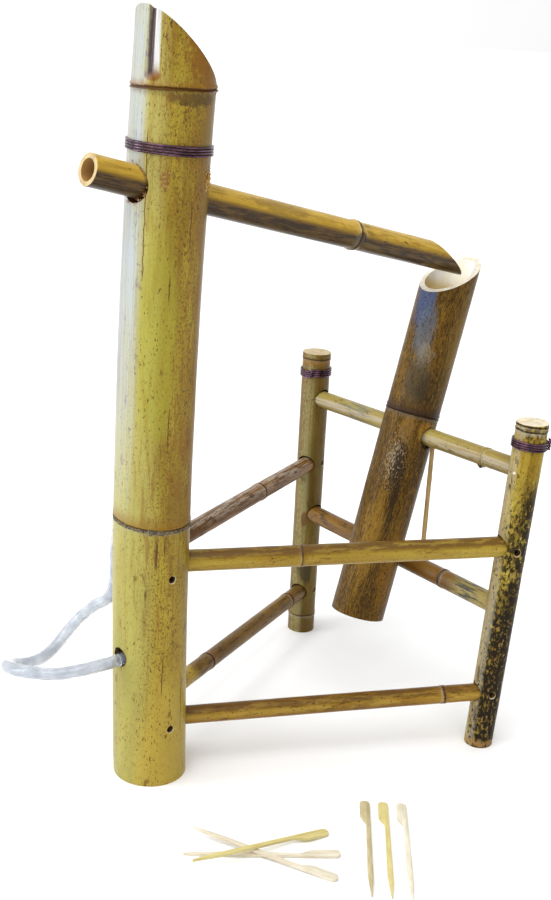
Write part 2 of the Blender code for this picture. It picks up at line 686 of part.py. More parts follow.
def swept_mesh(name, points, radius, resolution):
    """The mesh of a round tube with filled caps along a row of points."""
    guide = add_object(name, hose_curve(name, points, radius, resolution))
    solid = guide.evaluated_get(bpy.context.evaluated_depsgraph_get())
    mesh = bpy.data.meshes.new_from_object(solid)
    bpy.data.objects.remove(guide, do_unlink=True)
    return mesh


def riser_axis(height):
    """The riser's centre beside the main post's axis, on the side away from the rails."""
    return main_axis(height) - Vector((RISER_OFFSET, 0.0, 0.0))


def riser_top():
    """The riser's upper end, level with the floor of the spout's bore."""
    centre, line = spout_frame()
    place = riser_axis(SPOUT_Z)
    floor = centre.z + (place.x - centre.x) * line.z / line.x - (SPOUT_R - SPOUT_WALL) / line.x
    return riser_axis(floor)


def riser_points():
    """The riser's route: a quarter turn up from the hose hole, then up beside the axis."""
    mouth = Vector((HOSE_MOUTH_X, TAIL_ROUTE[0][1], HOSE_Z))
    route = [mouth]
    for step in range(RISER_STEPS + 1):
        angle = math.pi / 2 * step / RISER_STEPS
        along = HOSE_STUB + HOSE_TURN_R * math.sin(angle)
        rise = HOSE_TURN_R * (1.0 - math.cos(angle))
        route.append(mouth + Vector((along, 0.0, rise)))
    bend_end = route[-1]
    upper = min(UPPER_FRONT_MAIN_Z, UPPER_REAR_MAIN_Z) - max(UPPER_FRONT_R, UPPER_REAR_R) - HOSE_R
    for step in range(1, RISER_STEPS + 1):
        share = step / RISER_STEPS
        ease = share * share * (3.0 - 2.0 * share)
        height = bend_end.z + share * (upper - bend_end.z)
        target = riser_axis(height)
        route.append(Vector((bend_end.x + ease * (target.x - bend_end.x),
                             bend_end.y + ease * (target.y - bend_end.y), height)))
    top = riser_top()
    for step in range(1, RISER_STEPS + 1):
        route.append(riser_axis(upper + (top.z - upper) * step / RISER_STEPS))
    return route


def make_hose_riser(main):
    """The hose inside the main post, with its bore, and the post's hole that it enters by."""
    route = riser_points()
    riser = add_object("hose_riser", swept_mesh("hose_riser", route, HOSE_R, 2), "clear_hose")
    first = route[0] + (route[0] - route[1]).normalized() * OVERRUN
    last = route[-1] + (route[-1] - route[-2]).normalized() * OVERRUN
    inner = swept_mesh("hose_riser_bore", [first] + route + [last], HOSE_BORE_R, 1)
    cut(riser, hide_guide(add_object("hose_riser_bore", inner)))
    hole_z = HOSE_Z - HOSE_R - GAP + HOSE_HOLE_R
    centre = main_axis(hole_z)
    mouth = Vector((centre.x - main_radius(hole_z) - OVERRUN, TAIL_ROUTE[0][1], hole_z))
    drill(main, "main_hose_hole", Vector((centre.x, mouth.y, hole_z)), mouth, HOSE_HOLE_R, POST_SIDES)


def smooth_route(knots, step):
    """Points about one step apart on a smooth curve through the knots."""
    ends = [2 * knots[0] - knots[1]] + knots + [2 * knots[-1] - knots[-2]]
    fine = []
    splits = 12
    for before, left, right, after in zip(ends, ends[1:], ends[2:], ends[3:]):
        for index in range(splits):
            t = index / splits
            pull = (right - before) / 2
            push = (after - left) / 2
            fine.append((2 * t ** 3 - 3 * t ** 2 + 1) * left + (t ** 3 - 2 * t ** 2 + t) * pull
                        + (3 * t ** 2 - 2 * t ** 3) * right + (t ** 3 - t ** 2) * push)
    fine.append(knots[-1])
    lengths = [0.0]
    for left, right in zip(fine, fine[1:]):
        lengths.append(lengths[-1] + (right - left).length)
    count = max(2, round(lengths[-1] / step))
    points = []
    place = 0
    for index in range(count + 1):
        wanted = lengths[-1] * index / count
        while place < len(fine) - 2 and lengths[place + 1] < wanted:
            place += 1
        span = lengths[place + 1] - lengths[place]
        points.append(fine[place].lerp(fine[place + 1], (wanted - lengths[place]) / span))
    return points, lengths[-1]


def make_hose_tail():
    """The hose's free stretch, from the post's hole round behind it and up to a bare end."""
    knots = [Vector(point) + Vector((0.0, 0.0, HOSE_Z)) for point in TAIL_ROUTE]
    points, length = smooth_route(knots[1:], TAIL_STEP_DIAMETERS * 2 * HOSE_R)
    length += (knots[1] - knots[0]).length
    add_object("hose_tail", hose_curve("hose_tail", [knots[0]] + points, HOSE_R, 3), "clear_hose")
    print(f"hose tail length {length:.4f} m in {len(points) + 1} points")


def make_binding(name, axis, radius, height):
    """One length of wire wound round a post, its two ends run straight off it."""
    ring = (radius(height) + GAP + WIRE_R) / math.cos(math.pi / WIRE_LOOP_POINTS)
    count = WIRE_TURNS * WIRE_LOOP_POINTS
    start = math.radians(BINDING_START_DEG)
    points = []
    for step in range(count + 1):
        angle = start + TURN * step / WIRE_LOOP_POINTS
        rise = WIRE_PITCH * (step / WIRE_LOOP_POINTS - WIRE_TURNS / 2)
        spoke = Vector((ring * math.cos(angle), ring * math.sin(angle), 0.0))
        points.append(axis(height + rise) + spoke)
    first = points[0] + (points[0] - points[1]).normalized() * 2 * WIRE_R
    last = points[-1] + (points[-1] - points[-2]).normalized() * 2 * WIRE_R
    route = [first] + points + [last]
    add_object(name, hose_curve(name, route, WIRE_R, 1), "copper_wire")
    least = least_self_gap(route, WIRE_LOOP_POINTS // 2) - 2 * WIRE_R
    print(f"{name} least gap to itself {least * 1000:.3f} mm")


def least_self_gap(points, apart):
    """The least distance between two points at least this many places apart."""
    least = math.inf
    for index, point in enumerate(points):
        for other in points[index + apart:]:
            least = min(least, (point - other).length)
    return least


def peg_outline():
    """A peg's flat outline from its round head: along the straight edge, then back."""
    middle = PEG_STICK_WIDTH / 2
    half = PEG_HEAD_WIDTH / 2
    outline = []
    for step in range(PEG_ARC_STEPS + 1):
        angle = math.pi * step / PEG_ARC_STEPS
        outline.append((PEG_HEAD_ROUND * (1.0 - math.sin(angle)), half * (1.0 + math.cos(angle)) - middle))
    taper = PEG_TAPER_SHARE * PEG_LENGTH
    outline += [(taper, -middle), (PEG_LENGTH, -PEG_TIP_WIDTH / 2), (PEG_LENGTH, PEG_TIP_WIDTH / 2)]
    outline += [(taper, middle), (PEG_SWELL_SHARE * PEG_LENGTH, middle + PEG_SWELL)]
    head = PEG_HEAD_SHARE * PEG_LENGTH
    shoulder = PEG_SHOULDER_SHARE * PEG_LENGTH
    for step in range(PEG_ARC_STEPS + 1):
        share = step / PEG_ARC_STEPS
        ease = (1.0 - math.cos(math.pi * share)) / 2
        across = middle + ease * (PEG_HEAD_WIDTH - PEG_STICK_WIDTH)
        outline.append((shoulder + share * (head - shoulder), across))
    return outline


def make_peg_mesh():
    """One peg: its outline drawn out to its thickness, lying on its flat."""
    body = bmesh.new()
    corners = [body.verts.new((along, across, 0.0)) for along, across in peg_outline()]
    drawn = bmesh.ops.extrude_face_region(body, geom=[body.faces.new(corners)])
    lifted = [item for item in drawn["geom"] if isinstance(item, bmesh.types.BMVert)]
    bmesh.ops.translate(body, vec=Vector((0.0, 0.0, PEG_THICK)), verts=lifted)
    bmesh.ops.recalc_face_normals(body, faces=body.faces)
    mesh = bpy.data.meshes.new("peg")
    body.to_mesh(mesh)
    body.free()
    return mesh


def add_peg(name, mesh, head, heading_deg, lift, turned_over):
    """Lay a peg with its head's end on the ground and its point lifted."""
    peg = add_object(name, mesh.copy(), "peg_wood")
    placing = Matrix.Translation(Vector((head[0], head[1], 0.0)))
    placing = placing @ Matrix.Rotation(math.radians(heading_deg), 4, 'Z') @ Matrix.Rotation(-lift, 4, 'Y')
    if turned_over:
        raised = Matrix.Translation(Vector((0.0, 0.0, PEG_THICK)))
        placing = placing @ raised @ Matrix.Rotation(math.pi, 4, 'X')
    peg.matrix_world = placing
    return peg


def make_peg_pile(mesh):
    """Three pegs that cross at one place, each on the one below."""
    add_peg("peg_1", mesh, FLOOR_PEG_HEAD, FLOOR_PEG_HEADING_DEG, 0.0, True)
    pile = Vector((PILE_X, PILE_Y))
    step = PEG_THICK + GAP
    reach = PEG_STICK_WIDTH / math.sin(math.radians(FLOOR_PEG_HEADING_DEG - MIDDLE_PEG_HEADING_DEG))
    distance = (pile - Vector(MIDDLE_PEG_HEAD)).length
    lift = math.atan2(step, distance - reach)
    add_peg("peg_2", mesh, MIDDLE_PEG_HEAD, MIDDLE_PEG_HEADING_DEG, lift, True)
    crest = math.tan(lift) * (distance + reach) + step
    distance = (pile - Vector(TOP_PEG_HEAD)).length
    add_peg("peg_3", mesh, TOP_PEG_HEAD, TOP_PEG_HEADING_DEG, math.atan2(crest, distance - reach / 2), False)


def make_pegs():
    """Six pegs: three crossed in a pile and three in a row."""
    mesh = make_peg_mesh()
    make_peg_pile(mesh)
    for index in range(ROW_PEGS):
        head = (ROW_PEG_HEAD[0] + index * ROW_PEG_STEP[0], ROW_PEG_HEAD[1] + index * ROW_PEG_STEP[1])
        add_peg(f"peg_{index + 4}", mesh, head, ROW_PEG_HEADING_DEG, 0.0, True)


def centre_on_ground():
    """Move the fountain so that its origin lies under the middle of its box, the hose's tail aside."""
    bpy.context.view_layer.update()
    graph = bpy.context.evaluated_depsgraph_get()
    places = []
    for item in bpy.data.objects:
        if item.type == 'MESH' and not item.hide_render:
            solid = item.evaluated_get(graph).data
            places += [item.matrix_world @ vertex.co for vertex in solid.vertices]
    middle_x = (min(place.x for place in places) + max(place.x for place in places)) / 2
    middle_y = (min(place.y for place in places) + max(place.y for place in places)) / 2
    shift = Matrix.Translation(Vector((-middle_x, -middle_y, 0.0)))
    for item in bpy.data.objects:
        if item.parent is None:
            item.matrix_world = shift @ item.matrix_world
    print(f"main post's foot centre at {-middle_x:.5f}, {-middle_y:.5f} m")


def main():
    """Build the whole fountain."""
    clear_scene()
    main_post = make_main_post()
    front_post = make_short_post("front_short_post", front_axis, front_radius, [])
    rear_post = make_short_post("rear_short_post", rear_axis, rear_radius, [REAR_LOW_NODE_Z])
    make_front_rails(main_post, front_post)
    make_rear_rails(main_post, rear_post)
    axle = make_bar("axle_bar", AXLE_FRONT_Z, AXLE_REAR_Z, AXLE_R, AXLE_NODE_SHARE,
                    "gold_cane", front_post, rear_post)
    stop = make_bar("stop_bar", STOP_FRONT_Z, STOP_REAR_Z, STOP_R, STOP_NODE_SHARE,
                    "gold_cane", front_post, rear_post)
    make_axle_dowel(axle, front_post)
    make_keeper_stick(axle, stop)
    make_spout(main_post)
    make_rocker()
    make_hose_riser(main_post)
    make_hose_tail()
    make_binding("main_post_binding", main_axis, main_radius, MAIN_BINDING_Z)
    make_binding("front_post_binding", front_axis, front_radius, POST_HEIGHT - FRONT_BINDING_DROP)
    make_binding("rear_post_binding", rear_axis, rear_radius, POST_HEIGHT - REAR_BINDING_DROP)
    make_pegs()
    centre_on_ground()


if __name__ == "__main__":
    main()
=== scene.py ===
"""Bamboo water spout: the looks of every piece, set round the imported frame.

Metres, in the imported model's frame. The culms are set out from the middle of the main post's foot,
with +X towards the short posts and +Y towards the rear one, and FOOT moves them into the frame.
"""

import logging
import math
from collections.abc import Callable, Iterable
from dataclasses import dataclass, field, replace
from enum import Enum

import bmesh
import bpy
import numpy as np
from mathutils import Matrix, Vector

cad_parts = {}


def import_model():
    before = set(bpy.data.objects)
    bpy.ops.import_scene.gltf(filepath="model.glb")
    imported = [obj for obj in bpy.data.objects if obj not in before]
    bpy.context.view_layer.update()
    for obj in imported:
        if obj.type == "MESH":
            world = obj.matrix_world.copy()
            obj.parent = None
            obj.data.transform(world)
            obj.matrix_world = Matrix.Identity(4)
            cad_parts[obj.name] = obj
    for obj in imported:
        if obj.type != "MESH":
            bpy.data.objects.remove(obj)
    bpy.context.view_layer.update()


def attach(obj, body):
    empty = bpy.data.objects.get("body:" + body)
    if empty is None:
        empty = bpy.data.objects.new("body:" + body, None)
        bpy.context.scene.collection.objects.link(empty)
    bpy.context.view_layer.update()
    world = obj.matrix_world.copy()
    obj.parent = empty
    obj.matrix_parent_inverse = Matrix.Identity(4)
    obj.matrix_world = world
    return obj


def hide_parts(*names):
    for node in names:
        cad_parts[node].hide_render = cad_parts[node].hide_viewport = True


LOG = logging.getLogger("water_spout")
TURN = 2.0 * math.pi
FOOT = Vector((-0.170019, 0.067139, 0.0))
FOOT_PLACING = Matrix.Translation(FOOT)
UP = Vector((0.0, 0.0, 1.0))

Colour = tuple[float, float, float]
Point = tuple[float, float, float]
Socket = bpy.types.NodeSocket
Material = bpy.types.Material
Mesh = bpy.types.Mesh
Object = bpy.types.Object
BMesh = bmesh.types.BMesh
Corner = bmesh.types.BMVert


class Body(Enum):
    """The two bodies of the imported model."""

    STAND = "stand"
    ROCKER = "rocker"


class Slot(Enum):
    """The record's material slots."""

    OLD = "old_culm"
    OLIVE = "olive_culm"
    GOLDEN = "golden_culm"
    BROWN_CANE = "brown_cane"
    GOLD_CANE = "gold_cane"
    PEG = "peg_wood"
    WIRE = "copper_wire"
    HOSE = "clear_hose"


def aimed(start: Vector, end: Vector) -> Matrix:
    """The placing that carries local +Z along a line, from its start."""
    return Matrix.Translation(start) @ UP.rotation_difference(end - start).to_matrix().to_4x4()


def level(degrees: float) -> Vector:
    """The level direction at an azimuth, counted from +X towards +Y."""
    angle = math.radians(degrees)
    return Vector((math.cos(angle), math.sin(angle), 0.0))


def grain(across: float, along: float) -> Point:
    """A pattern's scale per metre: the same both ways across a culm, another along it."""
    return (across, across, along)


def standing(name: str, data: bpy.types.ID) -> Object:
    """A new object in the scene.

    Args:
        name: Its name.
        data: Its mesh, light or camera.

    Returns:
        The object.
    """
    item = bpy.data.objects.new(name, data)
    bpy.context.scene.collection.objects.link(item)
    return item


class Value:
    """An output of a node tree, which adds, subtracts and multiplies through the tree's own nodes."""

    def __init__(self, nodes: "Nodes", socket: Socket) -> None:
        """Take up an output of a tree."""
        self.nodes = nodes
        self.socket = socket

    def __add__(self, other: object) -> "Value":
        """The sum of two numbers."""
        return self.nodes.maths("ADD", self, other)

    def __sub__(self, other: object) -> "Value":
        """This number less another."""
        return self.nodes.maths("SUBTRACT", self, other)

    def __mul__(self, other: object) -> "Value":
        """The product of two numbers."""
        return self.nodes.maths("MULTIPLY", self, other)

    def __abs__(self) -> "Value":
        """The number without its sign."""
        return self.nodes.maths("ABSOLUTE", self)

    def at_least(self, other: object) -> "Value":
        """The larger of two numbers."""
        return self.nodes.maths("MAXIMUM", self, other)


class Nodes:
    """A node tree, with short ways to lay nodes and join them."""

    def __init__(self, tree: bpy.types.NodeTree) -> None:
        """Take up a tree."""
        self.tree = tree

    def feed(self, socket: Socket, value: object) -> None:
        """Join a socket to another, or set its plain value.

        Args:
            socket: The input.
            value: An output, a number or a tuple.
        """
        if isinstance(value, Value):
            value = value.socket
        if isinstance(value, bpy.types.NodeSocket):
            self.tree.links.new(value, socket)
        elif socket.type == "RGBA" and len(value) == 3:
            socket.default_value = (*value, 1.0)
        else:
            socket.default_value = value

    def add(self, kind: str, inputs: dict[object, object] | None = None,
            **settings: object) -> bpy.types.Node:
        """Lay one node, set it and feed its inputs.

        Args:
            kind: The node's type.
            inputs: Values or outputs for its inputs, by name or number.
            **settings: Its properties.

        Returns:
            The new node.
        """
        node = self.tree.nodes.new(kind)
        for key, value in settings.items():
            setattr(node, key, value)
        for key, value in (inputs or {}).items():
            self.feed(node.inputs[key], value)
        return node

    def out(self, kind: str, inputs: dict[object, object] | None = None, port: object = 0,
            **settings: object) -> Value:
        """One output of a new node, laid as add lays it.

        Args:
            kind: The node's type.
            inputs: Values or outputs for its inputs, by name or number.
            port: Which output is taken, by name or number.
            **settings: Its properties.

        Returns:
            The output.
        """
        return Value(self, self.add(kind, inputs, **settings).outputs[port])

    def maths(self, operation: str, first: object, second: object = 0.0) -> Value:
        """A sum of two numbers, by Blender's name for it."""
        return self.out("ShaderNodeMath", {0: first, 1: second}, operation=operation)

    def dot(self, vector: object, direction: Vector) -> Value:
        """The dot product of a vector and a direction."""
        return self.out("ShaderNodeVectorMath", {0: vector, 1: direction}, "Value", operation="DOT_PRODUCT")


class Bench(Nodes):
    """One material in the making: its nodes, the place that they read and the colour so far."""

    def __init__(self, name: str, colour: Colour, placing: Matrix | None = None) -> None:
        """Start a material with its plain shader.

        Args:
            name: The material's name.
            colour: Its ground colour.
            placing: The placing of the frame that patterns are read in, if not the model's own.
        """
        self.material = bpy.data.materials.new(name)
        self.material.use_nodes = True
        super().__init__(self.material.node_tree)
        self.shader = self.tree.nodes["Principled BSDF"]
        self.shift = 0.37 + sum(map(ord, name)) % 97
        self.colour: object = colour
        self.placing = Matrix.Identity(4) if placing is None else placing
        back = self.placing.inverted()
        coords = self.out("ShaderNodeTexCoord", port="Object")
        self.place = self.out("ShaderNodeMapping", {
            "Location": back.translation, "Rotation": back.to_euler(), "Vector": coords})

    def stretched(self, scale: Point, move: Point = (0.0, 0.0, 0.0)) -> Value:
        """The place scaled along its axes, then moved."""
        return self.out("ShaderNodeMapping", {"Scale": scale, "Location": move, "Vector": self.place})

    def noise(self, scale: Point, detail: float = 2.0, rough: float = 0.5, warp: float = 0.0) -> Value:
        """A noise pattern with its own scale along each axis.

        Args:
            scale: Its scale along each axis, per metre.
            detail: How many finer layers it has.
            rough: How strong the finer layers are.
            warp: How far it is distorted.

        Returns:
            A number from 0 to 1.
        """
        self.shift += 7.31
        moved = self.stretched(scale, (self.shift, self.shift * 0.7, -self.shift))
        return self.out("ShaderNodeTexNoise", {"Scale": 1.0, "Detail": detail, "Roughness": rough,
                                               "Distortion": warp, "Vector": moved})

    def cells(self, scale: Point) -> Value:
        """The distance from the nearest of many scattered points.

        Args:
            scale: How close the points are along each axis, per metre.

        Returns:
            The distance, about 0 to 1.
        """
        self.shift += 3.17
        moved = self.stretched(scale, (self.shift, -self.shift, self.shift * 0.3))
        return self.out("ShaderNodeTexVoronoi", {"Scale": 1.0, "Vector": moved})

    def step(self, source: object, low: float, high: float) -> Value:
        """A smooth step from 0 at low to 1 at high, either way round.

        Args:
            source: The number that the step reads.
            low: Where the step is 0.
            high: Where the step is 1.

        Returns:
            A number from 0 to 1.
        """
        first, last = (0.0, 1.0) if low < high else (1.0, 0.0)
        return self.out("ShaderNodeMapRange", {
            "Value": source, "From Min": min(low, high), "From Max": max(low, high), "To Min": first,
            "To Max": last}, interpolation_type="SMOOTHSTEP")

    def lay(self, share: object, over: object) -> None:
        """Lay a colour over the colour so far, as much as the share says."""
        self.colour = self.out("ShaderNodeMix", {0: share, 6: self.colour, 7: over}, 2, data_type="RGBA")

    def towards(self, direction: Vector) -> Value:
        """How far a culm's side faces a direction of its frame, from -1 to 1."""
        spoke = self.stretched((1.0, 1.0, 0.0))
        return self.dot(self.out("ShaderNodeVectorMath", {0: spoke}, operation="NORMALIZE"), direction)

    def parts(self) -> tuple[Value, Value, Value]:
        """The place's two parts across the culm and the one along it."""
        split = self.add("ShaderNodeSeparateXYZ", {0: self.place})
        return tuple(Value(self, part) for part in split.outputs)

    def bump(self, height: Value, depth: float, strength: float) -> None:
        """Raise the surface by a height.

        Args:
            height: The height, about 0 to 1.
            depth: What 1 stands for, in metres.
            strength: How strongly it shows.
        """
        self.feed(self.shader.inputs["Normal"], self.out(
            "ShaderNodeBump", {"Strength": strength, "Distance": depth, "Height": height}))

    def done(self, roughness: object, **fixed: float) -> Material:
        """Join the colour and roughness and set what is alike all over.

        Args:
            roughness: The roughness.
            **fixed: Other inputs of the shader, with _ for a space.

        Returns:
            The finished material.
        """
        for key, value in {"Base_Color": self.colour, "Roughness": roughness, **fixed}.items():
            self.feed(self.shader.inputs[key.replace("_", " ")], value)
        return self.material


@dataclass(frozen=True)
class Ring:
    """The marks that a culm's node leaves on its skin."""

    along: float
    tilt: tuple[float, float] = (0.0, 0.0)
    line: float = 0.0006
    line_share: float = 0.9
    brown_reach: float = 0.014
    brown_share: float = 0.6
    wax_reach: float = 0.006
    wax_share: float = 0.22
    brown: Colour = (0.20, 0.085, 0.016)
    wax: Colour = (0.46, 0.42, 0.31)


@dataclass(frozen=True)
class Patch:
    """A patch of colour on a culm, a stain in most places, a painted reflection and painted shade in a few:
    an oval about a point of its frame, eaten at by noise.
    """

    place: Point
    reach: Point
    colour: Colour
    share: float = 0.8
    broken: float = 0.5
    grain: Point = grain(160, 60)


@dataclass(frozen=True)
class Side:
    """A tint on the side of a culm that faces a direction of the model, its own colour in some places,
    painted highlights, reflections and shade in others; a late one lies over the flecks.
    """

    facing: Vector
    colour: Colour
    share: float = 0.6
    low: float = 0.2
    high: float = 1.0
    broken: float = 0.2
    grain: Point = grain(110, 30)
    edge: float = 0.45
    fade: tuple[float, float] | None = None
    late: bool = False


@dataclass(frozen=True)
class Crack:
    """A thin dark drying crack along a culm, at an azimuth between two heights."""

    azimuth: float
    low: float
    high: float
    half_width: float = 0.00035
    share: float = 0.85


@dataclass(frozen=True)
class Skin:
    """The waxy skin of one culm."""

    name: str
    light: Colour
    dark: Colour
    stain: Colour = (0.10, 0.055, 0.014)
    stain_share: float = 0.12
    stain_scale: Point = grain(85, 30)
    fleck: Colour = (0.055, 0.030, 0.010)
    fleck_share: float = 0.12
    fleck_scale: Point = grain(520, 300)
    gloss: float = 0.33
    shine: float = 0.30
    mottle: Colour | None = None
    mottle_share: float = 0.35
    rings: tuple[Ring, ...] = ()
    patches: tuple[Patch, ...] = ()
    sides: tuple[Side, ...] = ()
    cracks: tuple[Crack, ...] = ()

    def clouded(self, bench: Bench) -> Value:
        """Cloud and streak the ground colour.

        Args:
            bench: The material's bench.

        Returns:
            The fibres as a number.
        """
        cloud = bench.step(bench.noise(grain(42, 9), 3.0, 0.55), 0.34, 0.66)
        fibre = bench.noise(grain(900, 14), 3.0, 0.6)
        bench.lay(cloud, self.dark)
        streak = bench.step(bench.noise(grain(260, 6), 2.0, 0.6), 0.45, 0.75)
        bench.lay(streak * 0.60, self.dark)
        bench.lay(bench.step(fibre, 0.42, 0.72) * 0.34, self.stain)
        mottle = bench.step(bench.noise(grain(620, 330), 4.0, 0.65), 0.47, 0.66)
        bench.lay(mottle * self.mottle_share, self.mottle or self.stain)
        return fibre

    def tint(self, bench: Bench, late: bool) -> None:
        """Lay the tints of the sides.

        Args:
            bench: The material's bench.
            late: Whether those over the flecks are laid, or those under them.
        """
        back = bench.placing.to_3x3().inverted()
        for side in [side for side in self.sides if side.late == late]:
            mask = bench.step(bench.towards(back @ side.facing.normalized()), side.low, side.high)
            eaten = bench.step(bench.noise(side.grain, 4.0, 0.6), side.edge - 0.04, side.edge + 0.06)
            if side.fade:
                mask = mask * bench.step(bench.parts()[2], *side.fade)
            kept = eaten * side.broken + (1.0 - side.broken)
            bench.lay(mask * kept * side.share, side.colour)

    def lay_patches(self, bench: Bench) -> None:
        """Lay each patch.

        Args:
            bench: The material's bench.
        """
        for patch in self.patches:
            scale = tuple(1.0 / reach for reach in patch.reach)
            move = tuple(-spot * size for spot, size in zip(patch.place, scale))
            place = bench.stretched(scale, move)
            near = bench.out("ShaderNodeVectorMath", {0: place}, "Value", operation="LENGTH")
            eaten = bench.noise(patch.grain, 5.0, 0.65)
            far = near + eaten * (2.0 * patch.broken)
            mask = bench.step(far, 1.15 + 0.7 * patch.broken, 0.75 + 0.7 * patch.broken)
            bench.lay(mask * patch.share, patch.colour)

    def mark_nodes(self, bench: Bench) -> Value | None:
        """Lay each node's dark line, the brown band over it and the wax under it.

        Args:
            bench: The material's bench.

        Returns:
            Where the lines are.
        """
        lines = None
        across, deep, along = bench.parts()
        for ring in self.rings:
            slope = across * ring.tilt[0] + deep * ring.tilt[1]
            wobble = (bench.noise(grain(60, 0)) - 0.5) * 0.0030
            over = along - (slope + wobble + ring.along)
            ragged = bench.noise(grain(240, 50), 4.0, 0.6)
            reach = over + (ragged - 0.5) * 0.012
            above = bench.step(over, 0.0, 0.0012) * bench.step(reach, ring.brown_reach, 0.0)
            bench.lay(above * ring.brown_share, ring.brown)
            below = bench.step(over, 0.0, -0.0012) * bench.step(reach, -ring.wax_reach, -0.001)
            bench.lay(below * ring.wax_share, ring.wax)
            thick = bench.noise(grain(330, 0), 3.0, 0.6) * (2.0 * ring.line)
            line = bench.step(abs(over) - thick, ring.line, 0.0)
            bench.lay(line * ring.line_share, self.fleck)
            lines = line if lines is None else lines.at_least(line)
        return lines

    def crack(self, bench: Bench) -> None:
        """Draw each drying crack.

        Args:
            bench: The material's bench.
        """
        along = bench.parts()[2]
        for crack in self.cracks:
            direction = level(crack.azimuth)
            aside = bench.dot(bench.place, Vector((-direction.y, direction.x, 0.0)))
            wander = bench.noise((3.0, 3.0, 60.0), 3.0, 0.6) - 0.5
            line = bench.step(abs(aside + wander * 0.004), 2.0 * crack.half_width, crack.half_width)
            front = bench.step(bench.towards(direction), 0.5, 0.8)
            span = (bench.step(along, crack.low, crack.low + 0.012)
                    * bench.step(along, crack.high, crack.high - 0.012))
            bench.lay(line * front * (span * crack.share), self.fleck)

    def material(self, placing: Matrix) -> Material:
        """The skin as a material.

        Args:
            placing: The culm's placing in the model, its axis along local +Z.

        Returns:
            The material.
        """
        bench = Bench(self.name, self.light, placing)
        fibre = self.clouded(bench)
        self.tint(bench, False)
        self.lay_patches(bench)
        edge = 0.72 - 0.32 * self.stain_share
        stained = bench.step(bench.noise(self.stain_scale, 6.0, 0.62, 0.4), edge - 0.05, edge + 0.07)
        bench.lay(stained * 0.75, self.stain)
        dots = bench.noise(self.fleck_scale)
        crowd = bench.noise(grain(28, 11)) * 0.25
        edge = 0.86 - 0.22 * self.fleck_share
        flecked = bench.step(dots + crowd, edge, edge + 0.05)
        bench.lay(flecked * 0.85, self.fleck)
        self.tint(bench, True)
        lines = self.mark_nodes(bench)
        self.crack(bench)
        height = fibre * 0.5 - flecked * 0.35
        if lines is not None:
            height = height - lines
        bench.bump(height, 0.0003, 0.6)
        rough = stained * 0.14 + fibre * 0.12 + (self.gloss - 0.06)
        return bench.done(rough, Specular_IOR_Level=self.shine)


@dataclass(frozen=True)
class Finish:
    """A finish of two colours."""

    name: str
    light: Colour
    dark: Colour


@dataclass(frozen=True)
class CutEnd(Finish):
    """Sawn bamboo: pale wood with the dots of its vessels."""

    light: Colour = (0.66, 0.56, 0.36)
    dark: Colour = (0.40, 0.27, 0.12)

    def material(self) -> Material:
        """The sawn face as a material.

        Returns:
            The material.
        """
        bench = Bench(self.name, self.light)
        dots = bench.step(bench.cells(grain(1100, 1100)), 0.42, 0.16)
        bench.lay(bench.step(bench.noise(grain(130, 130), 4.0, 0.6), 0.35, 0.7) * 0.6, self.dark)
        bench.lay(dots * 0.35, self.dark)
        fine = bench.noise(grain(900, 900), 3.0)
        bench.bump(fine - dots, 0.00025, 0.5)
        return bench.done(fine * 0.2 + 0.55)


@dataclass(frozen=True)
class Chamber(Finish):
    """The papery wall inside a culm, gone tan below a height of its own."""

    light: Colour = (0.74, 0.66, 0.46)
    dark: Colour = (0.47, 0.34, 0.16)
    tanned: float = -1.0

    def material(self, placing: Matrix) -> Material:
        """The inner wall as a material.

        Args:
            placing: The culm's placing in the model.

        Returns:
            The material.
        """
        bench = Bench(self.name, self.light, placing)
        lines = bench.step(bench.noise(grain(420, 10), 3.0, 0.6), 0.4, 0.7)
        cloud = bench.step(bench.noise(grain(50, 25), 4.0, 0.6), 0.35, 0.7)
        deep = bench.step(bench.parts()[2], self.tanned + 0.008, self.tanned - 0.008)
        bench.lay((cloud * 0.45).at_least(deep * 0.85), self.dark)
        bench.lay(lines * 0.30, self.dark)
        bench.bump(lines, 0.0002, 0.5)
        return bench.done(lines * 0.1 + 0.6)


@dataclass(frozen=True)
class Drilled(Finish):
    """The wall of a drilled hole: torn brown fibres."""

    light: Colour = (0.30, 0.16, 0.055)
    dark: Colour = (0.045, 0.022, 0.009)

    def material(self) -> Material:
        """The hole's wall as a material.

        Returns:
            The material.
        """
        bench = Bench(self.name, self.dark)
        torn = bench.noise(grain(700, 260), 4.0, 0.65)
        bench.lay(bench.step(torn, 0.42, 0.7), self.light)
        bench.bump(torn, 0.0005, 0.7)
        return bench.done(torn * 0.15 + 0.65)


@dataclass(frozen=True)
class Wire(Finish):
    """Enamelled copper wire, gone maroon and violet."""

    light: Colour = (0.15, 0.070, 0.105)
    dark: Colour = (0.045, 0.018, 0.036)

    def material(self) -> Material:
        """The wire as a material.

        Returns:
            The material.
        """
        bench = Bench(self.name, self.dark)
        cloud = bench.noise(grain(120, 120), 3.0, 0.6)
        bench.lay(bench.step(cloud, 0.35, 0.70), self.light)
        bench.bump(bench.noise(grain(1500, 1500)), 0.0001, 0.3)
        return bench.done(cloud * 0.15 + 0.20, Metallic=0.9, Coat_Weight=0.25, Coat_Roughness=0.12)


@dataclass(frozen=True)
class ClearHose(Finish):
    """Clear soft hose, a little milky and blue."""

    light: Colour = (0.84, 0.87, 0.91)
    dark: Colour = (0.62, 0.65, 0.70)

    def material(self) -> Material:
        """The hose as a material.

        Returns:
            The material.
        """
        bench = Bench(self.name, self.light)
        cloud = bench.noise(grain(70, 70), 3.0, 0.55)
        bench.lay(bench.step(cloud, 0.35, 0.7), self.dark)
        bench.bump(bench.noise(grain(500, 500)), 0.00012, 0.3)
        return bench.done(cloud * 0.12 + 0.08, Transmission_Weight=0.8, IOR=1.42)


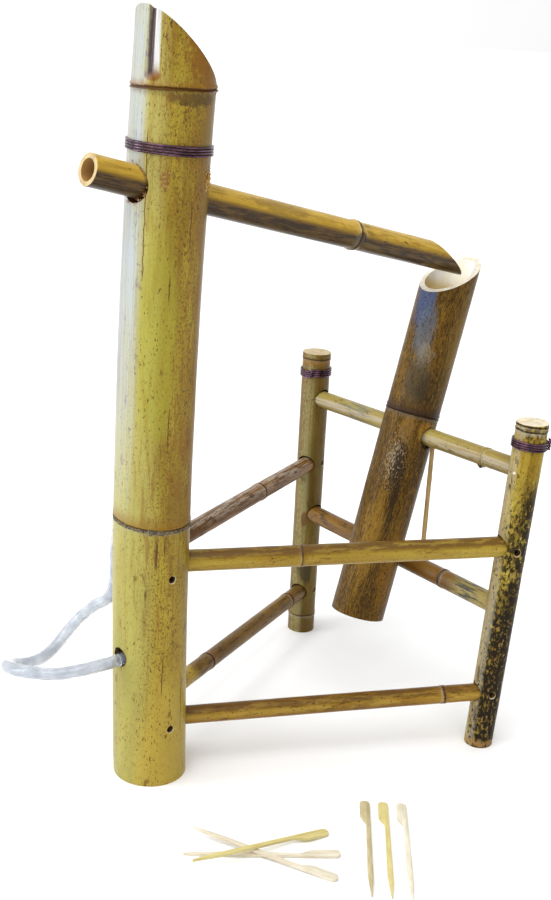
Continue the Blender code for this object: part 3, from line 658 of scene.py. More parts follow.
@dataclass(frozen=True)
class Stripwood(Finish):
    """Split bamboo with its grain along it, for the pegs, the dowel and the keeper stick."""

    grain: float = 1.0

    def material(self, placing: Matrix) -> Material:
        """The wood as a material.

        Args:
            placing: The piece's placing, its grain along local +X.

        Returns:
            The material.
        """
        bench = Bench(self.name, self.light, placing)
        lines = bench.noise((9.0, 900.0, 500.0), 3.0, 0.6)
        cloud = bench.noise((40.0, 160.0, 160.0), 3.0, 0.55)
        bench.lay(bench.step(cloud, 0.3, 0.75), self.dark)
        streak = bench.step(lines, 0.48, 0.75)
        bench.lay(streak * (0.4 * self.grain), tuple(0.5 * part for part in self.dark))
        bench.bump(lines, 0.0002, 0.45)
        return bench.done(lines * 0.15 + 0.48)


@dataclass(frozen=True)
class Fibre(Finish):
    """Torn fibres and crust, one dusty colour over another."""

    scale: float = 260.0

    def material(self) -> Material:
        """The fibres as a material.

        Returns:
            The material.
        """
        bench = Bench(self.name, self.dark)
        cloud = bench.noise((self.scale,) * 3, 4.0, 0.6)
        bench.lay(bench.step(cloud, 0.38, 0.64), self.light)
        bench.bump(cloud, 0.0004, 0.6)
        return bench.done(cloud * 0.15 + 0.6)


class Grower(Nodes):
    """A Geometry Nodes tree built in this script, with named inputs for its sizes."""

    def __init__(self, name: str, inputs: dict[str, tuple[str, object]]) -> None:
        """Start a tree with its inputs.

        Args:
            name: The tree's name.
            inputs: Each input's kind of socket and its first value.
        """
        super().__init__(bpy.data.node_groups.new(name, "GeometryNodeTree"))
        face = self.tree.interface
        face.new_socket("Geometry", in_out="INPUT", socket_type="NodeSocketGeometry")
        for label, (kind, value) in inputs.items():
            socket = face.new_socket(label, in_out="INPUT", socket_type="NodeSocket" + kind)
            if value is not None:
                socket.default_value = value
        face.new_socket("Geometry", in_out="OUTPUT", socket_type="NodeSocketGeometry")
        self.source = self.add("NodeGroupInput").outputs
        self.sink = self.add("NodeGroupOutput").inputs

    def close(self, geometry: Value) -> None:
        """End the tree: make instances real and set the finish.

        Args:
            geometry: The geometry that the tree has made.
        """
        real = self.out("GeometryNodeRealizeInstances", {0: geometry})
        dressed = self.out("GeometryNodeSetMaterial", {"Geometry": real, "Material": self.source["Finish"]})
        self.feed(self.sink[0], dressed)

    def grow(self, base: Mesh, values: dict[str, object]) -> Mesh:
        """Run the tree on a base mesh.

        Args:
            base: The points or path that the tree starts from.
            values: The value of each named input.

        Returns:
            The plain mesh that it makes.
        """
        item = standing("growing", base)
        modifier = item.modifiers.new("grow", "NODES")
        modifier.node_group = self.tree
        for socket in self.tree.interface.items_tree:
            if socket.item_type == "SOCKET" and socket.in_out == "INPUT" and socket.name in values:
                modifier[socket.identifier] = values[socket.name]
        return baked(item)


def baked(item: Object, *spent: Object) -> Mesh:
    """The mesh of an object with its modifiers applied; the object and its tools are removed.

    Args:
        item: The object.
        *spent: Other objects to remove with it.

    Returns:
        The plain mesh.
    """
    bpy.context.view_layer.update()
    graph = bpy.context.evaluated_depsgraph_get()
    mesh = bpy.data.meshes.new_from_object(item.evaluated_get(graph), depsgraph=graph)
    item.modifiers.clear()
    for thing in (item, *spent):
        bpy.data.objects.remove(thing, do_unlink=True)
    return mesh


def culm_grower() -> Grower:
    """The tree that skins a culm along a path whose points carry their girth, with slight lumps.

    Returns:
        The finished tree.
    """
    grower = Grower("culm_along_path", {
        "Sides": ("Int", 96), "Lump Height": ("Float", 0.0003), "Lumps Per Metre": ("Float", 25.0),
        "Seed": ("Float", 1.0), "Finish": ("Material", None)})
    source = grower.source
    girth = grower.out("GeometryNodeInputNamedAttribute", {"Name": "girth"}, data_type="FLOAT")
    path = grower.out("GeometryNodeMeshToCurve", {0: source["Geometry"]})
    ring = grower.out("GeometryNodeCurvePrimitiveCircle", {"Resolution": source["Sides"], "Radius": 1.0})
    skin = grower.out("GeometryNodeCurveToMesh",
                      {"Curve": path, "Profile Curve": ring, "Scale": girth, "Fill Caps": True})
    lump = grower.out("ShaderNodeTexNoise", {"W": source["Seed"], "Scale": source["Lumps Per Metre"],
                                             "Detail": 2.0}, noise_dimensions="4D")
    tall = (lump - 0.5) * source["Lump Height"]
    normal = grower.out("GeometryNodeInputNormal")
    push = grower.out("ShaderNodeVectorMath", {0: normal, "Scale": tall}, operation="SCALE")
    grower.close(grower.out("GeometryNodeSetPosition", {"Geometry": skin, "Offset": push}))
    return grower


def winding_grower() -> Grower:
    """The tree that winds a wire in a rising spiral.

    Returns:
        The finished tree.
    """
    grower = Grower("wire_winding", {
        "Turns": ("Float", 4.0), "Pitch": ("Float", 0.00245), "Ring Radius": ("Float", 0.03),
        "Wire Radius": ("Float", 0.001), "Points Per Turn": ("Int", 72), "Finish": ("Material", None)})
    source = grower.source
    height = grower.maths("MULTIPLY", source["Turns"], source["Pitch"])
    spiral = grower.out("GeometryNodeCurveSpiral", {
        "Resolution": source["Points Per Turn"], "Rotations": source["Turns"], "Height": height,
        "Start Radius": source["Ring Radius"], "End Radius": source["Ring Radius"], "Reverse": False})
    ring = grower.out("GeometryNodeCurvePrimitiveCircle", {
        "Resolution": 12, "Radius": source["Wire Radius"]})
    grower.close(grower.out("GeometryNodeCurveToMesh",
                            {"Curve": spiral, "Profile Curve": ring, "Fill Caps": True}))
    return grower


def splinter_grower() -> Grower:
    """The tree that stands a splinter on each point, along the point's own direction.

    Returns:
        The finished tree.
    """
    grower = Grower("splinters", {
        "Length": ("Float", 0.004), "Thickness": ("Float", 0.0004), "Seed": ("Int", 3),
        "Finish": ("Material", None)})
    source = grower.source
    aim = grower.out("GeometryNodeInputNamedAttribute", {"Name": "aim"}, data_type="FLOAT_VECTOR")
    turn = grower.out("FunctionNodeAlignRotationToVector", {"Vector": aim}, axis="Z")
    points = grower.out("GeometryNodeMeshToPoints", {"Mesh": source["Geometry"]})
    cone = grower.add("GeometryNodeMeshCone", {
        "Vertices": 5, "Radius Top": 0.00003, "Radius Bottom": source["Thickness"],
        "Depth": source["Length"]})
    size = grower.out("FunctionNodeRandomValue", {"Seed": source["Seed"], 0: (0.6, 0.6, 0.35),
                                                  1: (1.3, 1.3, 1.25)}, data_type="FLOAT_VECTOR")
    grower.close(grower.out("GeometryNodeInstanceOnPoints", {
        "Points": points, "Instance": cone.outputs["Mesh"], "Rotation": turn, "Scale": size}))
    return grower


@dataclass(frozen=True)
class Ridge:
    """A node's raised ring: a thin sheath scar, a groove and a soft swell above it."""

    along: float
    rise: float
    half: float = 0.005
    tilt: tuple[float, float] = (0.0, 0.0)

    def lift(self, over: np.ndarray) -> np.ndarray:
        """How far the skin rises at a distance over the ring.

        Args:
            over: Distances over the ring.

        Returns:
            The rises.
        """
        share = over / self.half
        scar = np.exp(-((share + 0.30) / 0.16) ** 2)
        groove = -0.45 * np.exp(-((share + 0.02) / 0.12) ** 2)
        swell = 0.75 * np.exp(-((share - 0.42) / 0.34) ** 2)
        return self.rise * (scar + groove + swell)


@dataclass(frozen=True)
class Knob:
    """A local bump, or a dent where its rise is below zero."""

    azimuth: float
    along: float
    rise: float
    wide: float
    tall: float


@dataclass(frozen=True)
class Groove:
    """A branch groove that runs up a culm, with softly raised lips."""

    low_azimuth: float
    high_azimuth: float
    low: float
    high: float
    depth: float
    half: float


@dataclass
class Blank:
    """A culm as it was cut: solid, and neither sawn at its ends nor drilled yet."""

    centre: Callable[[float], Vector]
    girth: Callable[[float], float]
    low: float
    high: float
    sides: int = 96
    pace: float = 0.006
    ridges: tuple[Ridge, ...] = ()
    knobs: tuple[Knob, ...] = ()
    grooves: tuple[Groove, ...] = ()
    lump_height: float = 0.0006
    lumps_per_metre: float = 22.0
    seed: float = 1.0
    softened: float = 0.0

    def stations(self) -> list[float]:
        """The places along the culm where it has a ring of corners, close together at its nodes.

        Returns:
            The places in order.
        """
        places = list(np.linspace(self.low, self.high, max(3, round((self.high - self.low) / self.pace))))
        for ridge in self.ridges:
            reach = ridge.half * 1.9 + 0.5 * math.hypot(*ridge.tilt) * self.girth(ridge.along) * 2.0
            places += list(np.arange(ridge.along - reach, ridge.along + reach, ridge.half / 7.0))
        for knob in self.knobs:
            places += list(np.linspace(knob.along - 2 * knob.tall, knob.along + 2 * knob.tall, 9))
        places = sorted(place for place in places if self.low <= place <= self.high)
        kept = [places[0]]
        for place in places[1:]:
            if place - kept[-1] > 0.0004:
                kept.append(place)
        kept[-1] = self.high
        if self.softened:
            kept = sorted([*kept, self.low + self.softened, self.high - self.softened])
        return kept

    def mesh(self, skin: Material, grower: Grower) -> Mesh:
        """Skin the culm along its path, then raise its nodes and sink its grooves.

        Args:
            skin: The finish of its skin.
            grower: The tree that skins a path.

        Returns:
            The blank's closed mesh.
        """
        stations = self.stations()
        base = bpy.data.meshes.new("path")
        base.from_pydata([self.centre(place) for place in stations],
                         [(index, index + 1) for index in range(len(stations) - 1)], [])
        girths = [self.girth(place) for place in stations]
        girths[0] -= self.softened
        girths[-1] -= self.softened
        base.attributes.new("girth", "FLOAT", "POINT").data.foreach_set("value", girths)
        mesh = grower.grow(base, {"Sides": self.sides, "Lump Height": self.lump_height,
                                  "Lumps Per Metre": self.lumps_per_metre, "Seed": self.seed,
                                  "Finish": skin})
        self.shape(mesh)
        outward(mesh)
        return mesh

    def shape(self, mesh: Mesh) -> None:
        """Move the skin's corners in and out for nodes, knobs and grooves.

        Args:
            mesh: The skinned path.
        """
        spots = corners(mesh)
        centres = np.array([self.centre(place) for place in spots[:, 2]])
        spokes = (spots - centres) * (1.0, 1.0, 0.0)
        radii = np.maximum(np.linalg.norm(spokes, axis=1), 1e-9)
        angles = np.arctan2(spokes[:, 1], spokes[:, 0])
        heights = spots[:, 2]
        lift = np.zeros(len(spots))
        for ridge in self.ridges:
            slope = spokes[:, 0] * ridge.tilt[0] + spokes[:, 1] * ridge.tilt[1]
            wave = 0.0006 * np.sin(3.0 * angles + 40.0 * ridge.along)
            lift += ridge.lift(heights - ridge.along - slope - wave)
        for knob in self.knobs:
            aside = turned(angles, math.radians(knob.azimuth)) * radii / knob.wide
            lift += knob.rise * np.exp(-aside ** 2 - ((heights - knob.along) / knob.tall) ** 2)
        for groove in self.grooves:
            share = np.clip((heights - groove.low) / (groove.high - groove.low), 0.0, 1.0)
            azimuth = np.radians(groove.low_azimuth + share * (groove.high_azimuth - groove.low_azimuth))
            off = np.abs(turned(angles, azimuth) * radii) / groove.half
            fade = np.clip((heights - groove.low) / 0.004, 0.0, 1.0)
            lift -= fade * groove.depth * (np.exp(-off ** 2) - 0.4 * np.exp(-((off - 1.9) / 0.7) ** 2))
        spots += spokes / radii[:, None] * lift[:, None]
        mesh.vertices.foreach_set("co", spots.astype(np.float32).ravel())
        mesh.update()


def turned(angles: np.ndarray, azimuth: float | np.ndarray) -> np.ndarray:
    """How far angles are turned from an azimuth, the short way round."""
    return (angles - azimuth + math.pi) % TURN - math.pi


def corners(mesh: Mesh) -> np.ndarray:
    """The places of a mesh's corners as rows of three numbers.

    Args:
        mesh: The mesh.

    Returns:
        The places, a row to each corner.
    """
    spots = np.zeros(len(mesh.vertices) * 3, np.float32)
    mesh.vertices.foreach_get("co", spots)
    return spots.reshape(-1, 3).astype(float)


def finished(body: BMesh, mesh: Mesh | None = None) -> Mesh:
    """Write a body in the making to a mesh, and let go of it.

    Args:
        body: The body in the making.
        mesh: The mesh that it goes to, if not a new one.

    Returns:
        The mesh.
    """
    if mesh is None:
        mesh = bpy.data.meshes.new("made")
    body.to_mesh(mesh)
    body.free()
    return mesh


def outward(mesh: Mesh) -> None:
    """Turn the faces of a closed mesh outwards.

    Args:
        mesh: The mesh.
    """
    body = bmesh.new()
    body.from_mesh(mesh)
    bmesh.ops.recalc_face_normals(body, faces=body.faces)
    finished(body, mesh)


def walled(body: BMesh, loops: list[list[Corner]]) -> None:
    """Close the wall between each ring of corners and the next.

    Args:
        body: The mesh in the making.
        loops: The rings of corners, in order.
    """
    for low, high in zip(loops, loops[1:]):
        for step, after in enumerate([*range(1, len(low)), 0]):
            body.faces.new((low[step], low[after], high[after], high[step]))


def finish_of(mesh: Mesh, material: Material) -> int:
    """The number of a material on a mesh, added if it is new there.

    Args:
        mesh: The mesh.
        material: The material.

    Returns:
        Its number on the mesh.
    """
    if material.name not in mesh.materials:
        mesh.materials.append(material)
    return mesh.materials.find(material.name)


def capped(mesh: Mesh, finish: Material) -> None:
    """Give the two flat ends of a blank their own finish.

    Args:
        mesh: The blank, its axis along local +Z.
        finish: The finish of its ends.
    """
    number = finish_of(mesh, finish)
    for polygon in mesh.polygons:
        if len(polygon.vertices) > 4:
            polygon.material_index = number


def sawn(mesh: Mesh, point: Vector, normal: Vector, finish: Material) -> None:
    """Saw off what lies beyond a plane, and close the sawn face.

    Args:
        mesh: The mesh, changed in place.
        point: A point of the plane.
        normal: The side that is sawn off.
        finish: The finish of the sawn face.
    """
    number = finish_of(mesh, finish)
    body = bmesh.new()
    body.from_mesh(mesh)
    everything = body.verts[:] + body.edges[:] + body.faces[:]
    cut = bmesh.ops.bisect_plane(body, geom=everything, plane_co=point, plane_no=normal, dist=1e-7,
                                 clear_outer=True)
    rim = [item for item in cut["geom_cut"] if isinstance(item, bmesh.types.BMEdge)]
    for face in bmesh.ops.contextual_create(body, geom=rim)["faces"]:
        face.material_index = number
        face.normal_update()
        if face.normal.dot(normal) < 0.0:
            face.normal_flip()
    finished(body, mesh)


def rod(rings: Iterable[tuple[Vector, float]], sides: int, finish: Material,
        placing: Matrix = Matrix.Identity(4)) -> Mesh:
    """A closed round body through rings of centre and radius.

    Args:
        rings: The rings, bottom to top.
        sides: How many sides it has.
        finish: Its finish.
        placing: Where it goes.

    Returns:
        The mesh.
    """
    body = bmesh.new()
    loops = [[body.verts.new(centre + radius * level(360.0 * step / sides)) for step in range(sides)]
             for centre, radius in rings]
    walled(body, loops)
    body.faces.new(loops[0][::-1])
    body.faces.new(loops[-1])
    mesh = finished(body)
    mesh.materials.append(finish)
    mesh.transform(placing)
    return mesh


def drill(start: Vector, end: Vector, radius: float, finish: Material, sides: int = 40) -> Mesh:
    """The shape that a drill takes out from start to end.

    Args:
        start: Where its middle line starts.
        end: Where it ends.
        radius: Its radius.
        finish: The finish of the hole's wall.
        sides: How many sides the hole has.

    Returns:
        The mesh.
    """
    outer = radius / math.cos(math.pi / sides)
    return rod([(Vector(), outer), ((end - start).length * UP, outer)], sides, finish, aimed(start, end))


def carved(mesh: Mesh, cutters: Iterable[Mesh]) -> Mesh:
    """A mesh with the cutters' shapes taken out, each wall in its cutter's finish.

    Args:
        mesh: The blank.
        cutters: What is taken out.

    Returns:
        The carved mesh.
    """
    item = standing("carving", mesh)
    tools = [standing("tool", cutter) for cutter in cutters]
    for tool in tools:
        cut = item.modifiers.new("cut", "BOOLEAN")
        cut.operation = "DIFFERENCE"
        cut.solver = "EXACT"
        cut.material_mode = "TRANSFER"
        cut.object = tool
    return baked(item, *tools)


def swept(points: list[Vector], radii: list[float] | float, sides: int, bore: float = 0.0) -> Mesh:
    """A tube along a row of points, closed at its ends, or open through a bore.

    Args:
        points: The middle line.
        radii: The radius, or one for each point.
        sides: How many sides it has.
        bore: The radius of its bore, or zero for none.

    Returns:
        The mesh.
    """
    sizes = [radii] * len(points) if isinstance(radii, float) else radii
    body = bmesh.new()
    tangents = [(after - before).normalized() for before, after in
                zip([points[0]] + points[:-1], points[1:] + [points[-1]])]
    side = tangents[0].orthogonal().normalized()
    walls: list[list[list[Corner]]] = [[], []]
    for index, (point, tangent) in enumerate(zip(points, tangents)):
        if index:
            side = tangents[index - 1].rotation_difference(tangent) @ side
        side = (side - side.dot(tangent) * tangent).normalized()
        other = tangent.cross(side)
        spokes = [math.cos(TURN * step / sides) * side + math.sin(TURN * step / sides) * other
                  for step in range(sides)]
        for wall, radius in zip(walls, (sizes[index], bore)):
            if radius > 0.0:
                wall.append([body.verts.new(point + radius * spoke) for spoke in spokes])
    for wall in walls:
        walled(body, wall)
    for end in (0, -1):
        if bore > 0.0:
            walled(body, [walls[0][end], walls[1][end]])
        else:
            body.faces.new(walls[0][end])
    bmesh.ops.recalc_face_normals(body, faces=body.faces)
    return finished(body)


def joined(meshes: Iterable[Mesh]) -> Mesh:
    """Several meshes as one, each face in its own finish.

    Args:
        meshes: The meshes.

    Returns:
        The one mesh.
    """
    body = bmesh.new()
    whole = bpy.data.meshes.new("joined")
    for mesh in meshes:
        numbers = [finish_of(whole, material) for material in mesh.materials]
        first = len(body.faces)
        body.from_mesh(mesh)
        body.faces.ensure_lookup_table()
        for face in body.faces[first:]:
            face.material_index = numbers[face.material_index] if numbers else 0
    return finished(body, whole)


def set_up(name: str, mesh: Mesh, body: Body, slot: Slot, *nodes: str, sharp: float = 32.0) -> Object:
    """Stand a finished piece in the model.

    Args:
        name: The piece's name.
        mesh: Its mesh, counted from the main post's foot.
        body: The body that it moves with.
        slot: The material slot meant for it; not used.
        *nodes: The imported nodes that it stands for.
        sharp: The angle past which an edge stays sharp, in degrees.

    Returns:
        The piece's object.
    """
    mesh.transform(FOOT_PLACING)
    mesh.shade_smooth()
    mesh.set_sharp_from_angle(angle=math.radians(sharp))
    mesh.name = name
    item = standing(name, mesh)
    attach(item, body.value)
    if nodes:
        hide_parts(*nodes)
    LOG.info("%s: %d faces", name, len(mesh.polygons))
    return item


@dataclass(frozen=True)
class Rail:
    """A thin cane between two posts: the points that it joins, its size and its marks."""

    name: str
    inner: Vector
    outer: Vector
    past_inner: float
    past_outer: float
    radius: float
    shares: tuple[float, ...]

    @property
    def line(self) -> Vector:
        """The direction from its inner end to its outer end."""
        return (self.outer - self.inner).normalized()

    @property
    def start(self) -> Vector:
        """Its inner end."""
        return self.inner - self.past_inner * self.line

    @property
    def end(self) -> Vector:
        """Its outer end."""
        return self.outer + self.past_outer * self.line

    @property
    def length(self) -> float:
        """How long it is."""
        return (self.end - self.start).length

    def at_y(self, y: float) -> Vector:
        """The point of its middle line at this y."""
        return self.inner + self.line * ((y - self.inner.y) / self.line.y)


@dataclass(frozen=True)
class Span:
    """A cane's heights in the middles of its two posts, its radius and its nodes' shares of its length."""

    inner_z: float
    outer_z: float
    radius: float
    shares: tuple[float, ...]


SPANS = {
    "upper_front_rail": Span(0.2340, 0.2335, 0.0111, (0.40,)),
    "lower_front_rail": Span(0.0585, 0.0620, 0.0096, (0.85,)),
    "upper_rear_rail": Span(0.2425, 0.2290, 0.0100, (0.59,)),
    "lower_rear_rail": Span(0.0730, 0.0550, 0.00965, (0.28, 0.85)),
    "axle_bar": Span(0.3185, 0.3150, 0.0103, (0.17,)),
    "stop_bar": Span(0.1625, 0.1640, 0.0107, (0.27,)),
}
MAIN_PEG_RISES = {"upper_front_rail": -0.0050, "lower_front_rail": 0.0045}
POST_PEG_RISES = {"upper_front_rail": -0.0015, "lower_front_rail": 0.0027,
                  "upper_rear_rail": 0.0020, "lower_rear_rail": 0.0020}


@dataclass(frozen=True)
class Setout:
    """Where every culm stands, counted from the middle of the main post's foot."""

    gap: float = 0.0003
    overrun: float = 0.004
    main_height: float = 0.760
    main_foot_r: float = 0.0376
    main_top_r: float = 0.0380
    post_height: float = 0.3720
    front_foot_r: float = 0.0155
    front_top_r: float = 0.0170
    rear_r: float = 0.0170
    past_post: float = 0.0055
    past_main: float = 0.0060
    play: float = 0.0010
    peg_hole_r: float = 0.00375
    dowel_r: float = 0.0020
    dowel_proud: float = 0.0005
    keeper_r: float = 0.00275
    keeper_seat: float = 0.0035
    spout_z: float = 0.6020
    spout_r: float = 0.0147
    spout_play: float = 0.0022
    spout_pitch: float = 13.0
    spout_floor: float = 0.0102
    rocker_r: float = 0.0307
    rocker_offset: float = 0.0053
    rocker_y: float = 0.0019
    hose_z: float = 0.1370
    hose_y: float = 0.0006
    hose_r: float = 0.00635
    hose_hole_r: float = 0.0100
    riser_aside: float = 0.0150

    def main_axis(self, height: float) -> Vector:
        """The main post's centre at a height: its lean and its bow.

        Args:
            height: The height above the floor.

        Returns:
            The centre.
        """
        share = height / self.main_height
        bow = 4.0 * share * (1.0 - share)
        return Vector((0.0042 * height - 0.0068 * bow, -0.0024 * height + 0.0044 * bow, height))

    def main_radius(self, height: float) -> float:
        """The main post's radius at a height."""
        return self.main_foot_r + (self.main_top_r - self.main_foot_r) * height / self.main_height

    def front_axis(self, height: float) -> Vector:
        """The front short post's centre at a height."""
        return Vector((0.3330 + 0.0659 * height, -0.1635, height))

    def front_radius(self, height: float) -> float:
        """The front short post's radius at a height."""
        return self.front_foot_r + (self.front_top_r - self.front_foot_r) * height / self.post_height

    def rear_axis(self, height: float) -> Vector:
        """The rear short post's centre at a height."""
        return Vector((0.3515 - 0.0116 * height, 0.1635 + 0.0058 * height, height))

    def rear_radius(self, _height: float) -> float:
        """The rear short post's radius, alike at every height."""
        return self.rear_r

    def rails(self) -> dict[str, Rail]:
        """The four rails and the two bars.

        Returns:
            Each cane by its name.
        """
        found: dict[str, Rail] = {}
        for name, span in SPANS.items():
            inner = (self.front_axis if name.endswith("bar") else self.main_axis)(span.inner_z)
            outer = (self.front_axis if name.endswith("front_rail") else self.rear_axis)(span.outer_z)
            past_inner = self.past_post if name.endswith("bar") else self.past_main
            if name.endswith("rear_rail"):
                front = found[name.replace("rear", "front")]
                line, other = (outer - inner).normalized(), front.line
                between = Vector((line.x, line.y)).angle(Vector((other.x, other.y)))
                clear = front.radius + self.gap + span.radius * abs(math.cos(between))
                past_inner = -clear / math.sin(between)
            found[name] = Rail(name, inner, outer, past_inner, self.past_post, span.radius, span.shares)
        return found

    def rocker_placing(self) -> Matrix:
        """The rocker at rest against the stop bar: local +X across it and +Z along it.

        Returns:
            The placing, its origin on the axle's middle line.
        """
        rails = self.rails()
        axle, stop = rails["axle_bar"], rails["stop_bar"]
        pivot = axle.at_y(self.rocker_y)
        flat = axle.line.cross(UP).normalized()
        rising = flat.cross(axle.line)
        to_stop = stop.at_y(self.rocker_y) - pivot
        side, drop = to_stop.dot(flat), -to_stop.dot(rising)
        free = self.rocker_r + stop.radius + self.gap - self.rocker_offset
        tilt = math.asin(free / math.hypot(side, drop)) - math.atan2(side, drop)
        along = math.cos(tilt) * rising + math.sin(tilt) * flat
        across_it = math.cos(tilt) * flat - math.sin(tilt) * rising
        return Matrix.Translation(pivot) @ Matrix((across_it, axle.line, along)).transposed().to_4x4()

    def spout_line(self) -> tuple[Vector, Vector]:
        """Where the spout crosses the main post's middle, and its downhill direction.

        Returns:
            The crossing point and the direction.
        """
        pitch = math.radians(self.spout_pitch)
        centre = Vector((self.main_axis(self.spout_z).x, 0.0, self.spout_z))
        return centre, Vector((math.cos(pitch), 0.0, -math.sin(pitch)))

    def riser_axis(self, height: float) -> Vector:
        """The hose riser's middle beside the main post's."""
        return self.main_axis(height) - Vector((self.riser_aside, 0.0, 0.0))

    def riser_top(self) -> Vector:
        """The riser's upper end, level with the floor of the spout's bore.

        Returns:
            The end's middle.
        """
        centre, line = self.spout_line()
        place = self.riser_axis(self.spout_z)
        fall = (place.x - centre.x) * line.z / line.x - self.spout_floor / line.x
        return self.riser_axis(centre.z + fall)

    def socket(self, axis_point: Vector, line: Vector, radius: float, depth: float, reach: float,
               finish: Material) -> Mesh:
        """The bore in a post for a cane that rests on the hole's lowest point.

        Args:
            axis_point: Where the cane's line crosses the post's middle.
            line: The cane's direction out of the post.
            radius: The cane's radius.
            depth: How far the bore runs past the middle.
            reach: How far it runs out.
            finish: The finish of its wall.

        Returns:
            What the drill takes out.
        """
        middle = axis_point + self.play * UP
        return drill(middle - depth * line, middle + reach * line, radius + self.play + self.gap, finish)

    def peg_bores(self, place: Vector, facing: Vector, post_radius: float, rail_radius: float,
                  finish: Material) -> tuple[Mesh, Mesh]:
        """A peg's hole through a post's near wall, and the same hole through the rail in it.

        Args:
            place: The point of the post's middle that the peg passes.
            facing: The side that the peg goes in from.
            post_radius: The post's radius.
            rail_radius: The rail's radius.
            finish: The finish of the holes' walls.

        Returns:
            The post's bore and the rail's bore.
        """
        mouth = place + (post_radius + self.overrun) * facing
        far = place - (rail_radius + self.overrun) * facing
        return tuple(drill(start, mouth, self.peg_hole_r, finish, 24) for start in (place, far))


def countersink(place: Vector, facing: Vector, post_radius: float, finish: Material) -> Mesh:
    """The pale worn rim of a peg hole: a shallow cone at the skin.

    Args:
        place: The point of the post's middle behind the hole.
        facing: The side that the hole opens to.
        post_radius: The post's radius.
        finish: The finish of the rim.

    Returns:
        What is taken out.
    """
    start = place + (post_radius - 0.0020) * facing
    return rod([(Vector(), 0.0030), (0.0034 * UP, 0.0054)], 24, finish, aimed(start, start + facing))


def upright(place: float) -> Vector:
    """The point of local +Z this far along."""
    return UP * place


def across(line: Vector) -> Vector:
    """The level direction square to a line, on its right."""
    return Vector((line.x, line.y, 0.0)).normalized().cross(UP)


@dataclass
class Workshop:
    """What the pieces share: the setout, the trees and the common finishes."""

    setout: Setout = field(default_factory=Setout)
    culm: Grower = field(default_factory=culm_grower)
    winding: Grower = field(default_factory=winding_grower)
    splinters: Grower = field(default_factory=splinter_grower)
    sawn_face: Material = field(default_factory=lambda: CutEnd("sawn_bamboo").material())
    torn: Material = field(default_factory=lambda: Drilled("drilled_wall").material())

    def stand_splinters(self, name: str, spots: list[tuple[Vector, Vector]], fibre: Material, length: float,
                        thickness: float, seed: int, slot: Slot) -> Object:
        """Torn fibres at a row of places.

        Args:
            name: The piece's name.
            spots: Each splinter's foot and direction.
            fibre: Their finish.
            length: Their usual length.
            thickness: Their radius at the foot.
            seed: What their sizes start from.
            slot: The material slot that they belong to.

        Returns:
            The piece.
        """
        base = bpy.data.meshes.new("spots")
        base.from_pydata([spot for spot, _ in spots], [], [])
        aims = base.attributes.new("aim", "FLOAT_VECTOR", "POINT")
        aims.data.foreach_set("vector", [part for _, aim in spots for part in aim.normalized()])
        mesh = self.splinters.grow(base, {"Length": length, "Thickness": thickness, "Seed": seed,
                                          "Finish": fibre})
        return set_up(name, mesh, Body.STAND, slot)


